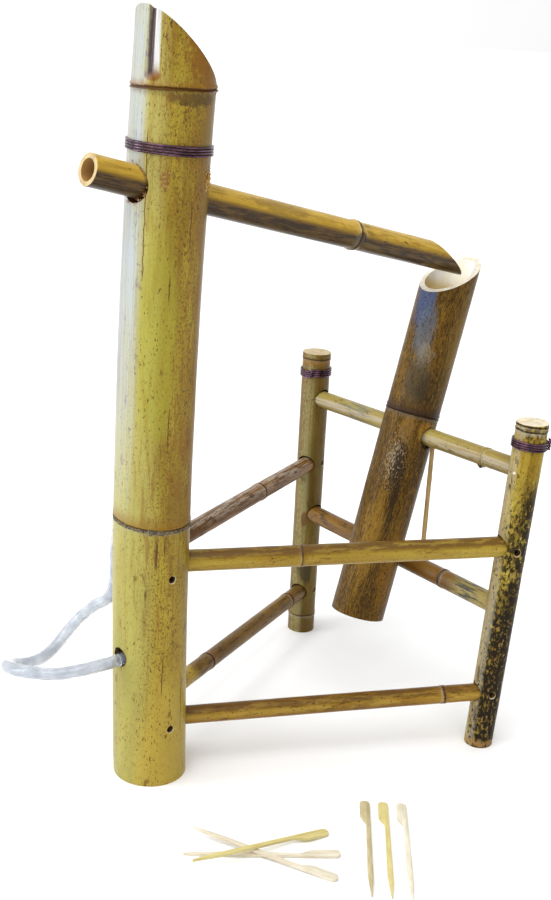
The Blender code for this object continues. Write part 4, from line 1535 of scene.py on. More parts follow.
@dataclass
class MainPost:
    """The thick culm: three chambers, a slanted top, its sockets, peg holes and torn places."""

    shop: Workshop
    wall: float = 0.0070
    diaphragm: float = 0.0060
    low_node: float = 0.284
    low_tilt: tuple[float, float] = (-0.045, 0.075)
    top_node: float = 0.692
    slant: float = 45.0
    sides: int = 144

    def skin(self) -> Skin:
        """The finish of its skin: olive and gold, with painted highlights and a painted bluish reflection
        down the left, browner with painted shade on the right, a painted highlight and painted shade at the
        branch groove, and browner over the upper node.

        Returns:
            The skin.
        """
        low = Ring(self.low_node - 0.0005, self.low_tilt, 0.0008, 0.9, 0.018, 0.65, 0.007, 0.45,
                   (0.22, 0.105, 0.012), (0.42, 0.38, 0.26))
        top = Ring(self.top_node - 0.0005, (0.0, 0.0), 0.0011, 0.9, 0.009, 0.75, 0.008, 0.55,
                   (0.24, 0.11, 0.016), (0.13, 0.085, 0.022))
        patches = (
            Patch((0.006, -0.037, 0.724), (0.030, 0.020, 0.044), (0.21, 0.085, 0.008), 0.85, 1.0,
                  grain(260, 110)),
            Patch((0.024, -0.030, 0.715), (0.020, 0.030, 0.050), (0.19, 0.085, 0.008), 0.7, 0.7,
                  grain(260, 110)),
            Patch((0.000, -0.037, 0.683), (0.044, 0.022, 0.008), (0.085, 0.050, 0.012), 0.85, 1.0,
                  grain(330, 200)),
            Patch((-0.018, -0.033, 0.685), (0.022, 0.018, 0.005), (0.16, 0.085, 0.018), 0.8, 1.2,
                  grain(420, 260)),
            Patch((0.020, -0.032, 0.655), (0.020, 0.020, 0.030), (0.20, 0.13, 0.022), 0.6, 0.7),
            Patch((0.026, -0.028, 0.600), (0.018, 0.024, 0.170), (0.18, 0.105, 0.010), 0.5, 0.6),
            Patch((0.012, -0.036, 0.298), (0.036, 0.022, 0.034), (0.21, 0.115, 0.014), 0.55, 0.8),
            Patch((-0.029, -0.024, 0.470), (0.024, 0.022, 0.120), (0.35, 0.325, 0.034), 0.55, 0.5,
                  grain(90, 12)),
            Patch((0.030, -0.020, 0.235), (0.012, 0.020, 0.110), (0.50, 0.39, 0.075), 0.6, 0.5,
                  grain(120, 20)),
            Patch((-0.036, -0.014, 0.702), (0.010, 0.010, 0.006), (0.22, 0.090, 0.016), 0.9, 0.4),
            Patch((0.000, -0.038, 0.030), (0.050, 0.040, 0.120), (0.45, 0.325, 0.050), 0.65, 0.5),
        )
        sides = (
            # Painted highlights: pale bands down the left side, where the left softbox's reflection falls,
            # the first on the upper part, the second on the lower.
            Side(level(-166.0), (0.46, 0.43, 0.130), 0.65, 0.78, 0.99, 0.3, grain(300, 6), 0.42,
                 (0.22, 0.42)),
            Side(level(-172.0), (0.38, 0.37, 0.110), 0.60, 0.60, 0.97, 0.3, grain(300, 6), 0.42,
                 (0.44, 0.26)),
            # Partly painted shade: a darker brown over the side turned from the left softbox, over the
            # culm's own brown.
            Side(level(-45.0), (0.220, 0.105, 0.008), 0.66, 0.10, 0.95, 0.6, grain(160, 25), 0.44,
                 (0.26, 0.34)),
            Side(level(-60.0), (0.42, 0.29, 0.040), 0.50, 0.15, 0.95, 0.4, fade=(0.27, 0.18)),
            Side(level(-72.0), (0.115, 0.055, 0.010), 0.80, -0.1, 0.75, 1.0, grain(600, 380), 0.56),
            Side(level(-140.0), (0.15, 0.080, 0.014), 0.65, 0.1, 0.9, 1.0, grain(640, 400), 0.62),
            Side(level(-100.0), (0.23, 0.110, 0.016), 0.60, 0.0, 0.9, 1.0, grain(240, 22), 0.55,
                 (0.10, 0.22)),
            # Painted reflection: a bluish-white streak of the left softbox down the upper left.
            Side(level(-192.0), (0.38, 0.44, 0.55), 0.72, 0.84, 0.97, 0.55, grain(560, 5), 0.48,
                 (0.24, 0.46), True),
            # Painted highlight: a thin white stripe on the branch groove's right lip, above the upper node.
            Side(level(-153.5), (0.72, 0.72, 0.76), 0.85, 0.9955, 0.9988, 0.3, grain(500, 20), 0.40,
                 (0.700, 0.716), True),
            # Painted shade: a dark line down the sunken branch groove, above the upper node.
            Side(level(-161.5), (0.045, 0.026, 0.040), 0.92, 0.9935, 0.9985, 0.6, grain(900, 30), 0.40,
                 (0.698, 0.706), True),
        )
        cracks = (
            Crack(-161.0, 0.52, 0.66), Crack(-118.0, 0.36, 0.41), Crack(-112.0, 0.10, 0.15),
            Crack(-96.0, 0.55, 0.60),
            Crack(-125.0, 0.500, 0.535), Crack(-128.0, 0.236, 0.279, 0.0008),
            Crack(-117.0, 0.250, 0.276, 0.0005), Crack(-142.0, 0.205, 0.225, 0.0007),
            Crack(-70.0, 0.05, 0.12), Crack(40.0, 0.3, 0.5), Crack(120.0, 0.05, 0.26),
        )
        return Skin("old_culm_skin", (0.41, 0.315, 0.034), (0.265, 0.175, 0.013), (0.16, 0.070, 0.010), 0.26,
                    grain(110, 60), (0.080, 0.030, 0.006), 0.38, grain(560, 250), 0.31, 0.16,
                    (0.20, 0.105, 0.012), 0.40, (low, top), patches, sides, cracks)

    def bores(self, inner: Material) -> list[Mesh]:
        """Everything that is bored out of the post.

        Args:
            inner: The finish of the chambers' walls.

        Returns:
            The shapes that are taken out.
        """
        setout, torn, facing = self.shop.setout, self.shop.torn, level(-90.0)
        half, past = self.diaphragm / 2, setout.overrun
        spans = ((-past, self.low_node / 2, self.low_node - half),
                 (self.low_node + half, (self.low_node + self.top_node) / 2, self.top_node - half),
                 (self.top_node + half, setout.main_height + 2 * past))
        cutters = [rod([(setout.main_axis(z), (setout.main_radius(z) - self.wall) / math.cos(math.pi / 64))
                        for z in span], 64, inner) for span in spans]
        rails = setout.rails()
        for name, rail in rails.items():
            if name.endswith("rail"):
                cutters.append(setout.socket(rail.inner, rail.line, rail.radius, 0.0,
                                             setout.main_radius(rail.inner.z) + past, torn))
        for name, rise in MAIN_PEG_RISES.items():
            rail = rails[name]
            place, radius = rail.inner + UP * rise, setout.main_radius(rail.inner.z)
            cutters.append(countersink(place, facing, radius, self.shop.sawn_face))
            cutters.append(setout.peg_bores(place, facing, radius, rail.radius, torn)[0])
        centre, _ = setout.spout_line()
        radius = setout.main_radius(setout.spout_z)
        pitch = math.radians(setout.spout_pitch) - math.asin(setout.spout_play / radius)
        reach = (radius + 2 * past) * Vector((math.cos(pitch), 0.0, -math.sin(pitch)))
        hole_r = setout.spout_r + setout.spout_play + setout.gap
        cutters.append(drill(centre - reach, centre + reach, hole_r, torn))
        hole_z = setout.hose_z - setout.hose_r - setout.gap + setout.hose_hole_r
        inside = Vector((setout.main_axis(hole_z).x, setout.hose_y, hole_z))
        mouth = inside - Vector((setout.main_radius(hole_z) + past, 0.0, 0.0))
        cutters.append(drill(inside, mouth, setout.hose_hole_r, torn))
        place, rise = setout.riser_axis(self.low_node), UP * self.diaphragm
        cutters.append(drill(place - rise, place + rise, setout.hose_r + setout.gap, torn, 24))
        return cutters

    def build(self) -> Object:
        """Skin, saw and bore the post.

        Returns:
            The post.
        """
        setout = self.shop.setout
        placing = FOOT_PLACING @ aimed(Vector(), Vector((0.0042, -0.0024, 1.0)))
        blank = Blank(setout.main_axis, setout.main_radius, -0.003, setout.main_height + setout.overrun,
                      self.sides, 0.008,
                      (Ridge(self.low_node, 0.0009, 0.005, self.low_tilt),
                       Ridge(self.top_node, 0.0014, 0.0045)),
                      (Knob(-108.0, self.low_node - 0.003, 0.0009, 0.008, 0.003),
                       Knob(-159.0, self.top_node + 0.0045, 0.0016, 0.004, 0.0035),
                       Knob(-46.0, self.top_node - 0.001, 0.0012, 0.003, 0.003)),
                      (Groove(-161.5, -160.5, self.top_node + 0.005, setout.main_height, 0.0018, 0.0024),),
                      0.0010, 16.0, 4.0)
        mesh = blank.mesh(self.skin().material(placing), self.shop.culm)
        tilt = math.radians(self.slant)
        tip = setout.main_axis(setout.main_height) - Vector((setout.main_top_r, 0.0, 0.0))
        sawn(mesh, tip, Vector((math.sin(tilt), 0.0, math.cos(tilt))), self.shop.sawn_face)
        sawn(mesh, Vector(), -UP, self.shop.sawn_face)
        inner = Chamber("old_culm_inside").material(placing)
        mesh = carved(mesh, self.bores(inner))
        return set_up("main_post_culm", mesh, Body.STAND, Slot.OLD, "main_post")

    def on_skin(self, azimuth: float, height: float, out: float = 0.0) -> Vector:
        """A point on the post's skin, or this far out from it."""
        setout = self.shop.setout
        return setout.main_axis(height) + (setout.main_radius(height) + out) * level(azimuth)

    def crust(self) -> Object:
        """The lumpy grey sheath scar along the lower node.

        Returns:
            The piece.
        """
        body = bmesh.new()
        count, sides, radius = 220, 8, 0.038
        loops = []
        for step in range(count + 1):
            azimuth = 150.0 + 172.0 * step / count
            spoke = radius * level(azimuth)
            ring_z = self.low_node - 0.0015 + self.low_tilt[0] * spoke.x + self.low_tilt[1] * spoke.y
            fade = min(1.0, step / 14, (count - step) / 14)
            ragged = 0.7 + 0.35 * math.sin(0.53 * step) * math.sin(0.17 * step + 1.0)
            ragged += 0.25 * math.sin(1.7 * step)
            ragged += 1.9 * math.exp(-((azimuth - 233.0) / 4.0) ** 2)
            ragged += 1.1 * math.exp(-((azimuth - 249.0) / 8.0) ** 2)
            tall, thick = 0.0007 + 0.0011 * fade * ragged, 0.0002 + 0.0010 * fade * ragged
            turns = [TURN * side / sides for side in range(sides)]
            loops.append([body.verts.new(self.on_skin(azimuth, ring_z + tall * math.sin(turn),
                                                      thick * math.cos(turn) + 0.0004)) for turn in turns])
        walled(body, loops)
        body.faces.new(loops[0])
        body.faces.new(loops[-1])
        bmesh.ops.recalc_face_normals(body, faces=body.faces)
        mesh = finished(body)
        dusty = Fibre("node_crust_finish", (0.20, 0.160, 0.080), (0.045, 0.032, 0.018), 420.0)
        mesh.materials.append(dusty.material())
        return set_up("main_post_node_crust", mesh, Body.STAND, Slot.OLD)

    def scattered(self, chance: np.random.Generator, count: int, azimuths: tuple[float, float],
                  heights: tuple[float, float], out: float, sunk: float) -> list[tuple[Vector, Vector]]:
        """Splinters scattered about one place of the skin.

        Args:
            chance: Where the random numbers come from.
            count: How many there are.
            azimuths: The middle and spread of their azimuths.
            heights: The middle and spread of their heights.
            out: How far they point out.
            sunk: How deep their feet are.

        Returns:
            Each splinter's foot and direction.
        """
        found = []
        for _ in range(count):
            turn, height = chance.normal(*azimuths), chance.normal(*heights)
            aim = level(turn) * out + level(turn + 90.0) * chance.uniform(-0.6, 0.6)
            found.append((self.on_skin(turn, height, -sunk), aim + UP * chance.uniform(-1.0, 1.0)))
        return found

    def torn_places(self) -> list[Object]:
        """The splinters round the spout's two holes and the scar between them.

        Returns:
            The pieces.
        """
        chance = np.random.default_rng(11)
        orange = Fibre("torn_orange_fibre", (0.62, 0.30, 0.12), (0.24, 0.085, 0.03)).material()
        pale = Fibre("torn_pale_fibre", (0.54, 0.31, 0.080), (0.24, 0.10, 0.020)).material()
        gold = Fibre("torn_gold_fibre", (0.72, 0.46, 0.10), (0.30, 0.14, 0.03)).material()
        setout = self.shop.setout
        skin_r, hole_r, slope = 0.0379, 0.0176, math.tan(math.radians(9.7))
        rims = []
        for sign, azimuth in ((-1.0, 180.0), (1.0, 0.0)):
            height = setout.spout_z - sign * skin_r * slope
            for angle in chance.uniform(0.0, TURN, 70):
                side, rise = hole_r * math.sin(angle), hole_r * math.cos(angle)
                turn = azimuth + sign * math.degrees(side / skin_r)
                spot = self.on_skin(turn, height + rise, -0.0004)
                aim = level(turn) * chance.uniform(0.1, 0.8) + UP * chance.uniform(-1.0, 1.0)
                rims.append((spot, aim + level(turn + 90.0) * chance.uniform(-0.5, 0.5)))
        scar = self.scattered(chance, 80, (-128.0, 2.8), (0.614, 0.0036), 0.25, 0.0002)
        chip = self.scattered(chance, 90, (-56.0, 5.0), (0.613, 0.0042), 0.5, 0.0003)
        make = self.shop.stand_splinters
        return [make("spout_hole_splinters", rims, orange, 0.0042, 0.00042, 5, Slot.OLD),
                make("main_post_scar", scar, pale, 0.0036, 0.00045, 6, Slot.OLD),
                make("main_post_chip", chip, gold, 0.0044, 0.00060, 7, Slot.OLD)]


@dataclass
class ShortPost:
    """A thin upright with an open foot, a chamber and its node for a lid."""

    shop: Workshop
    name: str
    axis: Callable[[float], Vector]
    radius: Callable[[float], float]
    skin: Skin
    ridges: tuple[Ridge, ...]
    wall: float = 0.0035
    lid: float = 0.0110
    lid_light: Colour = (0.80, 0.72, 0.54)
    lid_dark: Colour = (0.50, 0.38, 0.22)

    def bores(self, inner: Material) -> list[Mesh]:
        """Everything that is bored out of the post.

        Args:
            inner: The finish of the chamber's wall.

        Returns:
            The shapes that are taken out.
        """
        setout, torn = self.shop.setout, self.shop.torn
        cutters = [rod([(self.axis(z), (self.radius(z) - self.wall) / math.cos(math.pi / 48))
                        for z in (-setout.overrun, setout.post_height - self.lid)], 48, inner)]
        past = setout.past_post + setout.gap
        front = self.name.startswith("front")
        for name, rail in setout.rails().items():
            bar = name not in POST_PEG_RISES
            if not bar and ("front" in name) != front:
                continue
            point, line = (rail.inner, rail.line) if bar and front else (rail.outer, -rail.line)
            radius = self.radius(point.z)
            cutters.append(setout.socket(point, line, rail.radius, past, radius + setout.overrun, torn))
            if not bar:
                place, facing = point + UP * POST_PEG_RISES[name], across(rail.line)
                cutters.append(countersink(place, facing, radius, self.shop.sawn_face))
                cutters.append(setout.peg_bores(place, facing, radius, rail.radius, torn)[0])
        if front:
            height = SPANS["axle_bar"].inner_z
            place = self.axis(height)
            mouth = place + (self.radius(height) + setout.dowel_proud + setout.overrun) * level(180.0)
            cutters.append(drill(place, mouth, setout.dowel_r + setout.gap, torn, 24))
        return cutters

    def build(self) -> Object:
        """Skin, saw and bore the post.

        Returns:
            The post.
        """
        height = self.shop.setout.post_height
        foot = self.axis(0.0)
        placing = FOOT_PLACING @ aimed(foot, self.axis(1.0))
        blank = Blank(self.axis, self.radius, -0.003, height + 0.003, 96, 0.006, self.ridges,
                      lump_height=0.0007, lumps_per_metre=26.0, seed=float(len(self.name)))
        mesh = blank.mesh(self.skin.material(placing), self.shop.culm)
        lid = CutEnd(self.name + "_lid", self.lid_light, self.lid_dark).material()
        sawn(mesh, UP * height, UP, lid)
        sawn(mesh, Vector(), -UP, self.shop.sawn_face)
        mesh = carved(mesh, self.bores(Chamber(self.name + "_inside").material(placing)))
        return set_up(self.name + "_culm", mesh, Body.STAND, Slot.OLIVE, self.name)


def front_short_post(shop: Workshop) -> ShortPost:
    """The front short post: gold, with a sooty side turned to the viewer.

    Args:
        shop: What the pieces share.

    Returns:
        The post, ready to build.
    """
    blotch, soot = grain(250, 160), (0.017, 0.013, 0.008)
    marks = (Ring(0.3650, line=0.0007, brown_reach=0.002, wax_share=0.5),
             Ring(0.3702, brown_reach=0.001, wax_share=0.3))
    sides = (
        Side(level(-100.0), (0.22, 0.125, 0.022), 0.7, 0.0, 0.9, 1.0, grain(90, 50), 0.47, (0.33, 0.24)),
        Side(level(-55.0), soot, 0.95, 0.0, 0.6, 1.0, blotch, 0.44, (0.33, 0.28)),
        Side(level(-95.0), soot, 0.95, -0.2, 0.6, 1.0, blotch, 0.49, (0.34, 0.22)),
        Side(level(-90.0), soot, 0.97, -0.5, 0.3, 1.0, blotch, 0.42, (0.21, 0.15)),
        Side(level(-90.0), (0.26, 0.165, 0.040), 0.85, -1.0, -0.9, 1.0, grain(300, 200), 0.58, (0.20, 0.14)),
        Side(level(-60.0), (0.05, 0.03, 0.010), 0.9, -0.6, 0.1, 1.0, blotch, 0.50, (0.350, 0.354)),
        # Painted highlight: a pale grey strip down the left side, facing the left softbox.
        Side(level(-195.0), (0.42, 0.38, 0.30), 0.5, 0.80, 0.95, 0.6, grain(200, 20), 0.45),
    )
    patches = (Patch((0.0, 0.0, 0.205), (0.022, 0.022, 0.012), (0.46, 0.33, 0.070), 0.75, 0.8, blotch),
               Patch((0.0, 0.0, 0.004), (0.022, 0.022, 0.007), (0.36, 0.21, 0.070), 0.8, 0.3))
    skin = Skin("front_post_skin", (0.52, 0.410, 0.060), (0.30, 0.180, 0.016), (0.060, 0.038, 0.010), 0.36,
                grain(110, 60), (0.018, 0.012, 0.005), 0.60, grain(420, 240), 0.36, 0.06,
                (0.13, 0.075, 0.018), 0.4, marks, patches, sides)
    return ShortPost(shop, "front_short_post", shop.setout.front_axis, shop.setout.front_radius, skin,
                     (Ridge(0.3665, 0.0006),))


def rear_short_post(shop: Workshop) -> ShortPost:
    """The rear short post: dark olive, with a second node low down.

    Args:
        shop: What the pieces share.

    Returns:
        The post, ready to build.
    """
    marks = (Ring(0.3655, brown_reach=0.001, wax_share=0.1), Ring(0.0236, brown_reach=0.004, wax_share=0.2))
    patches = (Patch((0.0, 0.0, 0.362), (0.022, 0.022, 0.010), (0.24, 0.115, 0.018), 0.85, 0.3),
               Patch((-0.010, -0.012, 0.088), (0.012, 0.012, 0.022), (0.035, 0.028, 0.014), 0.8, 0.7),
               Patch((-0.014, -0.010, 0.158), (0.005, 0.006, 0.012), (0.12, 0.045, 0.016), 0.8, 0.5),
               Patch((0.0, 0.0, 0.008), (0.022, 0.022, 0.014), (0.16, 0.085, 0.022), 0.6, 0.6))
    sides = (
        # Painted highlight: a pale olive band down the left side, facing the left softbox.
        Side(level(-162.0), (0.34, 0.310, 0.140), 0.55, 0.82, 0.98, 0.5, grain(300, 12), 0.42),
        Side(level(-60.0), (0.17, 0.110, 0.022), 0.5, 0.1, 0.9, 0.6),
        Side(level(-215.0), (0.15, 0.075, 0.014), 0.7, 0.3, 0.9, 1.0, grain(400, 200), 0.50),
        Side(level(-120.0), (0.15, 0.050, 0.014), 0.8, -0.2, 0.6, 1.0, grain(560, 330), 0.56, (0.24, 0.31)),
    )
    skin = Skin("rear_post_skin", (0.175, 0.120, 0.015), (0.100, 0.058, 0.005), (0.070, 0.038, 0.008), 0.30,
                grain(100, 50), (0.045, 0.024, 0.008), 0.42, grain(700, 380), 0.33, 0.16,
                (0.105, 0.066, 0.012), 0.5, marks, patches, sides)
    return ShortPost(shop, "rear_short_post", shop.setout.rear_axis, shop.setout.rear_radius, skin,
                     (Ridge(0.3665, 0.0006), Ridge(0.0236, 0.0006)), lid_light=(0.56, 0.45, 0.27),
                     lid_dark=(0.34, 0.23, 0.11))


@dataclass
class Cane:
    """A thin cane laid from one post to another, with its nodes and what is drilled through it."""

    shop: Workshop
    rail: Rail
    skin: Skin
    slot: Slot
    bores: list[Mesh] = field(default_factory=list)
    rise: float = 0.0007
    bud: tuple[float, float] = (40.0, 0.0009)

    def build(self) -> Object:
        """Skin the cane, lay it in its place and drill it.

        Returns:
            The cane.
        """
        rail = self.rail
        nodes = tuple(share * rail.length for share in rail.shares)
        placing = aimed(rail.start, rail.end)
        blank = Blank(upright, lambda _: rail.radius, 0.0, rail.length, 64, 0.006,
                      tuple(Ridge(node, self.rise, 0.0045, (0.04, -0.03)) for node in nodes),
                      tuple(Knob(self.bud[0] + 90.0 * index, node + 0.003, self.bud[1], 0.0030, 0.0035)
                            for index, node in enumerate(nodes)),
                      lump_height=0.0006, lumps_per_metre=30.0, seed=rail.radius * 3000.0, softened=0.0005)
        mesh = blank.mesh(self.skin.material(FOOT_PLACING @ placing), self.shop.culm)
        capped(mesh, self.shop.sawn_face)
        mesh.transform(placing)
        if self.bores:
            mesh = carved(mesh, self.bores)
        return set_up(rail.name + "_cane", mesh, Body.STAND, self.slot, rail.name)


@dataclass
class Spout:
    """The thin culm through the main post, bored right through, its lip cut to a scoop."""

    shop: Workshop
    wall: float = 0.0045
    back: float = 0.0870
    reach: float = 0.4180
    scoop: float = 0.0600
    node: float = 0.2400

    def skin(self) -> Skin:
        """Golden, brighter above with painted light and nearly black below with painted shade, with a dark
        node.

        Returns:
            The skin.
        """
        node = Ring(self.back + self.node, (0.0, 0.0), 0.0008, 0.9, 0.006, 0.55, 0.010, 0.2,
                    (0.09, 0.045, 0.012))
        sides = (
            # Painted light: a brighter gold over the upper side, which faces the lights.
            Side(Vector((-0.15, -0.50, 0.85)), (0.66, 0.43, 0.060), 0.75, 0.35, 1.0, 0.3),
            # Painted shade: nearly black over the underside.
            Side(Vector((0.10, -0.10, -1.0)), (0.028, 0.013, 0.004), 0.98, -0.16, 0.20, 0.10),
            Side(Vector((0.0, -1.0, 0.15)), (0.20, 0.100, 0.012), 0.40, 0.2, 0.9, 1.0, grain(380, 34), 0.53),
        )
        patches = (
            Patch((0.0, 0.0, self.back + self.node + 0.012), (0.020, 0.020, 0.014), (0.12, 0.075, 0.018),
                  0.6, 0.8),
            Patch((0.001, -0.0150, self.back + self.node + 0.001), (0.007, 0.006, 0.007),
                  (0.025, 0.013, 0.007), 0.95, 0.5),
            Patch((-0.010, -0.010, self.back + 0.130), (0.012, 0.012, 0.050), (0.20, 0.12, 0.026), 0.5, 0.8),
        )
        return Skin("golden_culm_skin", (0.50, 0.305, 0.036), (0.33, 0.19, 0.020), (0.085, 0.042, 0.010),
                    0.20, grain(130, 30), (0.05, 0.026, 0.008), 0.30, grain(520, 120), 0.27, 0.24,
                    (0.20, 0.105, 0.012), 0.35, (node,), patches, sides)

    def build(self) -> Object:
        """Skin, saw and bore the spout.

        Returns:
            The spout.
        """
        setout = self.shop.setout
        centre, line = setout.spout_line()
        start, end = centre - self.back * line, centre + (self.reach + setout.overrun) * line
        length = (end - start).length
        placing = aimed(start, end)
        ring = self.back + self.node
        blank = Blank(upright, lambda _: setout.spout_r, 0.0, length, 96, 0.006,
                      (Ridge(ring, 0.0014, 0.0055, (0.06, 0.05)),),
                      (Knob(-112.0, ring + 0.004, 0.0016, 0.0035, 0.0050),
                       Knob(-150.0, ring - 0.006, 0.0006, 0.006, 0.006)),
                      lump_height=0.0008, lumps_per_metre=24.0, seed=9.0, softened=0.0004)
        mesh = blank.mesh(self.skin().material(FOOT_PLACING @ placing), self.shop.culm)
        end_finish = CutEnd("spout_lip_face", (0.58, 0.44, 0.22), (0.26, 0.15, 0.05)).material()
        capped(mesh, end_finish)
        mesh.transform(placing)
        up = Vector((-line.z, 0.0, line.x))
        tip = centre + self.reach * line - setout.spout_r * up
        edge = (2 * setout.spout_r * up - self.scoop * line).normalized()
        sawn(mesh, tip, Vector((edge.z, 0.0, -edge.x)), end_finish)
        tan = Chamber("spout_inside", (0.46, 0.26, 0.075), (0.16, 0.080, 0.026))
        inner = tan.material(FOOT_PLACING @ placing)
        past = setout.overrun * line
        bore = drill(start - past, end + past, setout.spout_r - self.wall, inner, 64)
        top, depth = setout.riser_top(), UP * (self.wall + setout.overrun)
        inlet = drill(top - depth, top + depth / 2, setout.hose_r + setout.gap, self.shop.torn, 32)
        mesh = carved(mesh, [bore, inlet])
        return set_up("spout_culm", mesh, Body.STAND, Slot.GOLDEN, "spout")


@dataclass
class Rocker:
    """The tipping tube: an open tail below its node, a cup above it with a slanted mouth."""

    shop: Workshop
    wall: float = 0.0050
    high: float = 0.2075
    low: float = 0.1569
    tail: float = 0.2210
    node: float = 0.0220
    diaphragm: float = 0.0050
    play: float = 0.0024

    def skin(self) -> Skin:
        """Mottled brown and olive, with a painted bluish reflection at the upper left, painted shade on the
        right, and dark over the node.

        Returns:
            The skin.
        """
        node = Ring(self.node - 0.001, (0.0, 0.0), 0.0007, 0.95, 0.016, 0.9, 0.007, 0.30,
                    (0.034, 0.017, 0.011), (0.22, 0.19, 0.14))
        dark = grain(900, 300)
        patches = (
            # Painted reflection: a bluish streak of the left softbox down the upper left, fading to pale
            # grey lower down.
            Patch((-0.030, 0.000, 0.150), (0.012, 0.018, 0.046), (0.055, 0.082, 0.165), 0.9, 0.8,
                  grain(420, 60)),
            Patch((-0.029, -0.011, 0.115), (0.012, 0.016, 0.040), (0.10, 0.12, 0.15), 0.6, 0.8,
                  grain(420, 60)),
            Patch((-0.026, -0.016, 0.088), (0.015, 0.013, 0.024), (0.23, 0.20, 0.15), 0.55, 1.1,
                  grain(560, 160)),
            Patch((-0.026, -0.016, 0.058), (0.020, 0.020, 0.040), (0.066, 0.054, 0.034), 0.70, 1.0, dark),
            Patch((-0.020, -0.024, 0.050), (0.020, 0.014, 0.030), (0.030, 0.022, 0.012), 0.60, 1.2, dark),
            Patch((-0.002, -0.030, 0.003), (0.014, 0.012, 0.016), (0.36, 0.18, 0.026), 0.8, 0.5),
            Patch((-0.024, -0.020, 0.004), (0.010, 0.012, 0.018), (0.22, 0.12, 0.030), 0.6, 0.6),
            Patch((-0.0265, -0.0160, -0.034), (0.017, 0.017, 0.046), (0.36, 0.290, 0.190), 0.75, 2.0, dark),
            Patch((-0.0235, -0.0195, -0.038), (0.017, 0.016, 0.052), (0.018, 0.011, 0.006), 0.92, 1.7, dark),
            Patch((-0.0200, -0.0240, -0.080), (0.008, 0.008, 0.050), (0.024, 0.015, 0.008), 0.85, 1.2, dark),
            Patch((-0.028, -0.012, -0.130), (0.016, 0.018, 0.090), (0.29, 0.165, 0.028), 0.45, 1.1,
                  grain(760, 50)),
            Patch((0.000, -0.031, -0.160), (0.020, 0.014, 0.080), (0.21, 0.098, 0.010), 0.7, 1.1,
                  grain(760, 50)),
            Patch((0.008, -0.030, 0.110), (0.020, 0.016, 0.080), (0.21, 0.125, 0.018), 0.5, 1.0,
                  grain(420, 60)),
        )
        sides = (
            # Painted shade: darker brown over the right side above the node, turned from the left softbox.
            Side(level(-30.0), (0.080, 0.045, 0.006), 0.6, 0.25, 1.0, 0.4, fade=(-0.02, 0.03)),
            Side(level(-90.0), (0.022, 0.013, 0.007), 0.8, -1.0, -0.9, 1.0, grain(950, 240), 0.53),
            Side(level(-90.0), (0.29, 0.160, 0.024), 0.55, -1.0, -0.9, 1.0, grain(1100, 110), 0.56),
        )
        return Skin("rocker_skin", (0.175, 0.090, 0.010), (0.090, 0.045, 0.005), (0.045, 0.022, 0.006), 0.30,
                    grain(190, 60), (0.022, 0.012, 0.005), 0.55, grain(700, 340), 0.36, 0.10,
                    (0.045, 0.026, 0.009), 0.5, (node,), patches, sides,
                    (Crack(-122.0, 0.16, 0.192, 0.0004), Crack(-80.0, -0.20, -0.10),
                     Crack(60.0, -0.05, 0.08)))

    def build(self) -> Object:
        """Skin, saw and bore the rocker at rest.

        Returns:
            The rocker.
        """
        setout, radius = self.shop.setout, self.shop.setout.rocker_r
        hanger = setout.rocker_placing()
        placing = hanger @ Matrix.Translation((-setout.rocker_offset, 0.0, 0.0))
        blank = Blank(upright, lambda _: radius, -self.tail, self.high + setout.overrun,
                      128, 0.006, (Ridge(self.node, 0.0008, 0.005, (0.02, 0.03)),),
                      (Knob(-95.0, self.node + 0.004, 0.0006, 0.005, 0.004),),
                      lump_height=0.0009, lumps_per_metre=18.0, seed=21.0)
        mesh = blank.mesh(self.skin().material(FOOT_PLACING @ placing), self.shop.culm)
        rim = CutEnd("rocker_rim_face", (0.78, 0.73, 0.62), (0.48, 0.37, 0.22)).material()
        capped(mesh, rim)
        mesh.transform(placing)
        low = placing @ Vector((-radius, 0.0, self.low))
        edge = placing.to_3x3() @ Vector((2 * radius, 0.0, self.high - self.low)).normalized()
        hinge = placing.to_3x3() @ Vector((0.0, 1.0, 0.0))
        sawn(mesh, low, edge.cross(hinge), rim)
        pale = Chamber("rocker_inside", (0.84, 0.86, 0.88), (0.76, 0.58, 0.22), 0.172)
        inner = pale.material(FOOT_PLACING @ placing)
        half = self.diaphragm / 2
        size = (radius - self.wall) / math.cos(math.pi / 64)
        cutters = [rod([(upright(place), size) for place in span], 64, inner, placing)
                   for span in ((-self.tail - setout.overrun, self.node - half),
                                (self.node + half, self.high + 2 * setout.overrun))]
        play = math.radians(45.0)
        pivot = hanger.translation
        hole = pivot - self.play * (hanger.to_3x3() @ Vector((math.cos(play), 0.0, math.sin(play))))
        reach = (radius + setout.overrun) * hinge
        cutters.append(drill(hole - reach, hole + reach, SPANS["axle_bar"].radius + self.play + setout.gap,
                             self.shop.torn, 48))
        return set_up("rocker_culm", carved(mesh, cutters), Body.ROCKER, Slot.OLIVE, "rocker_tube")


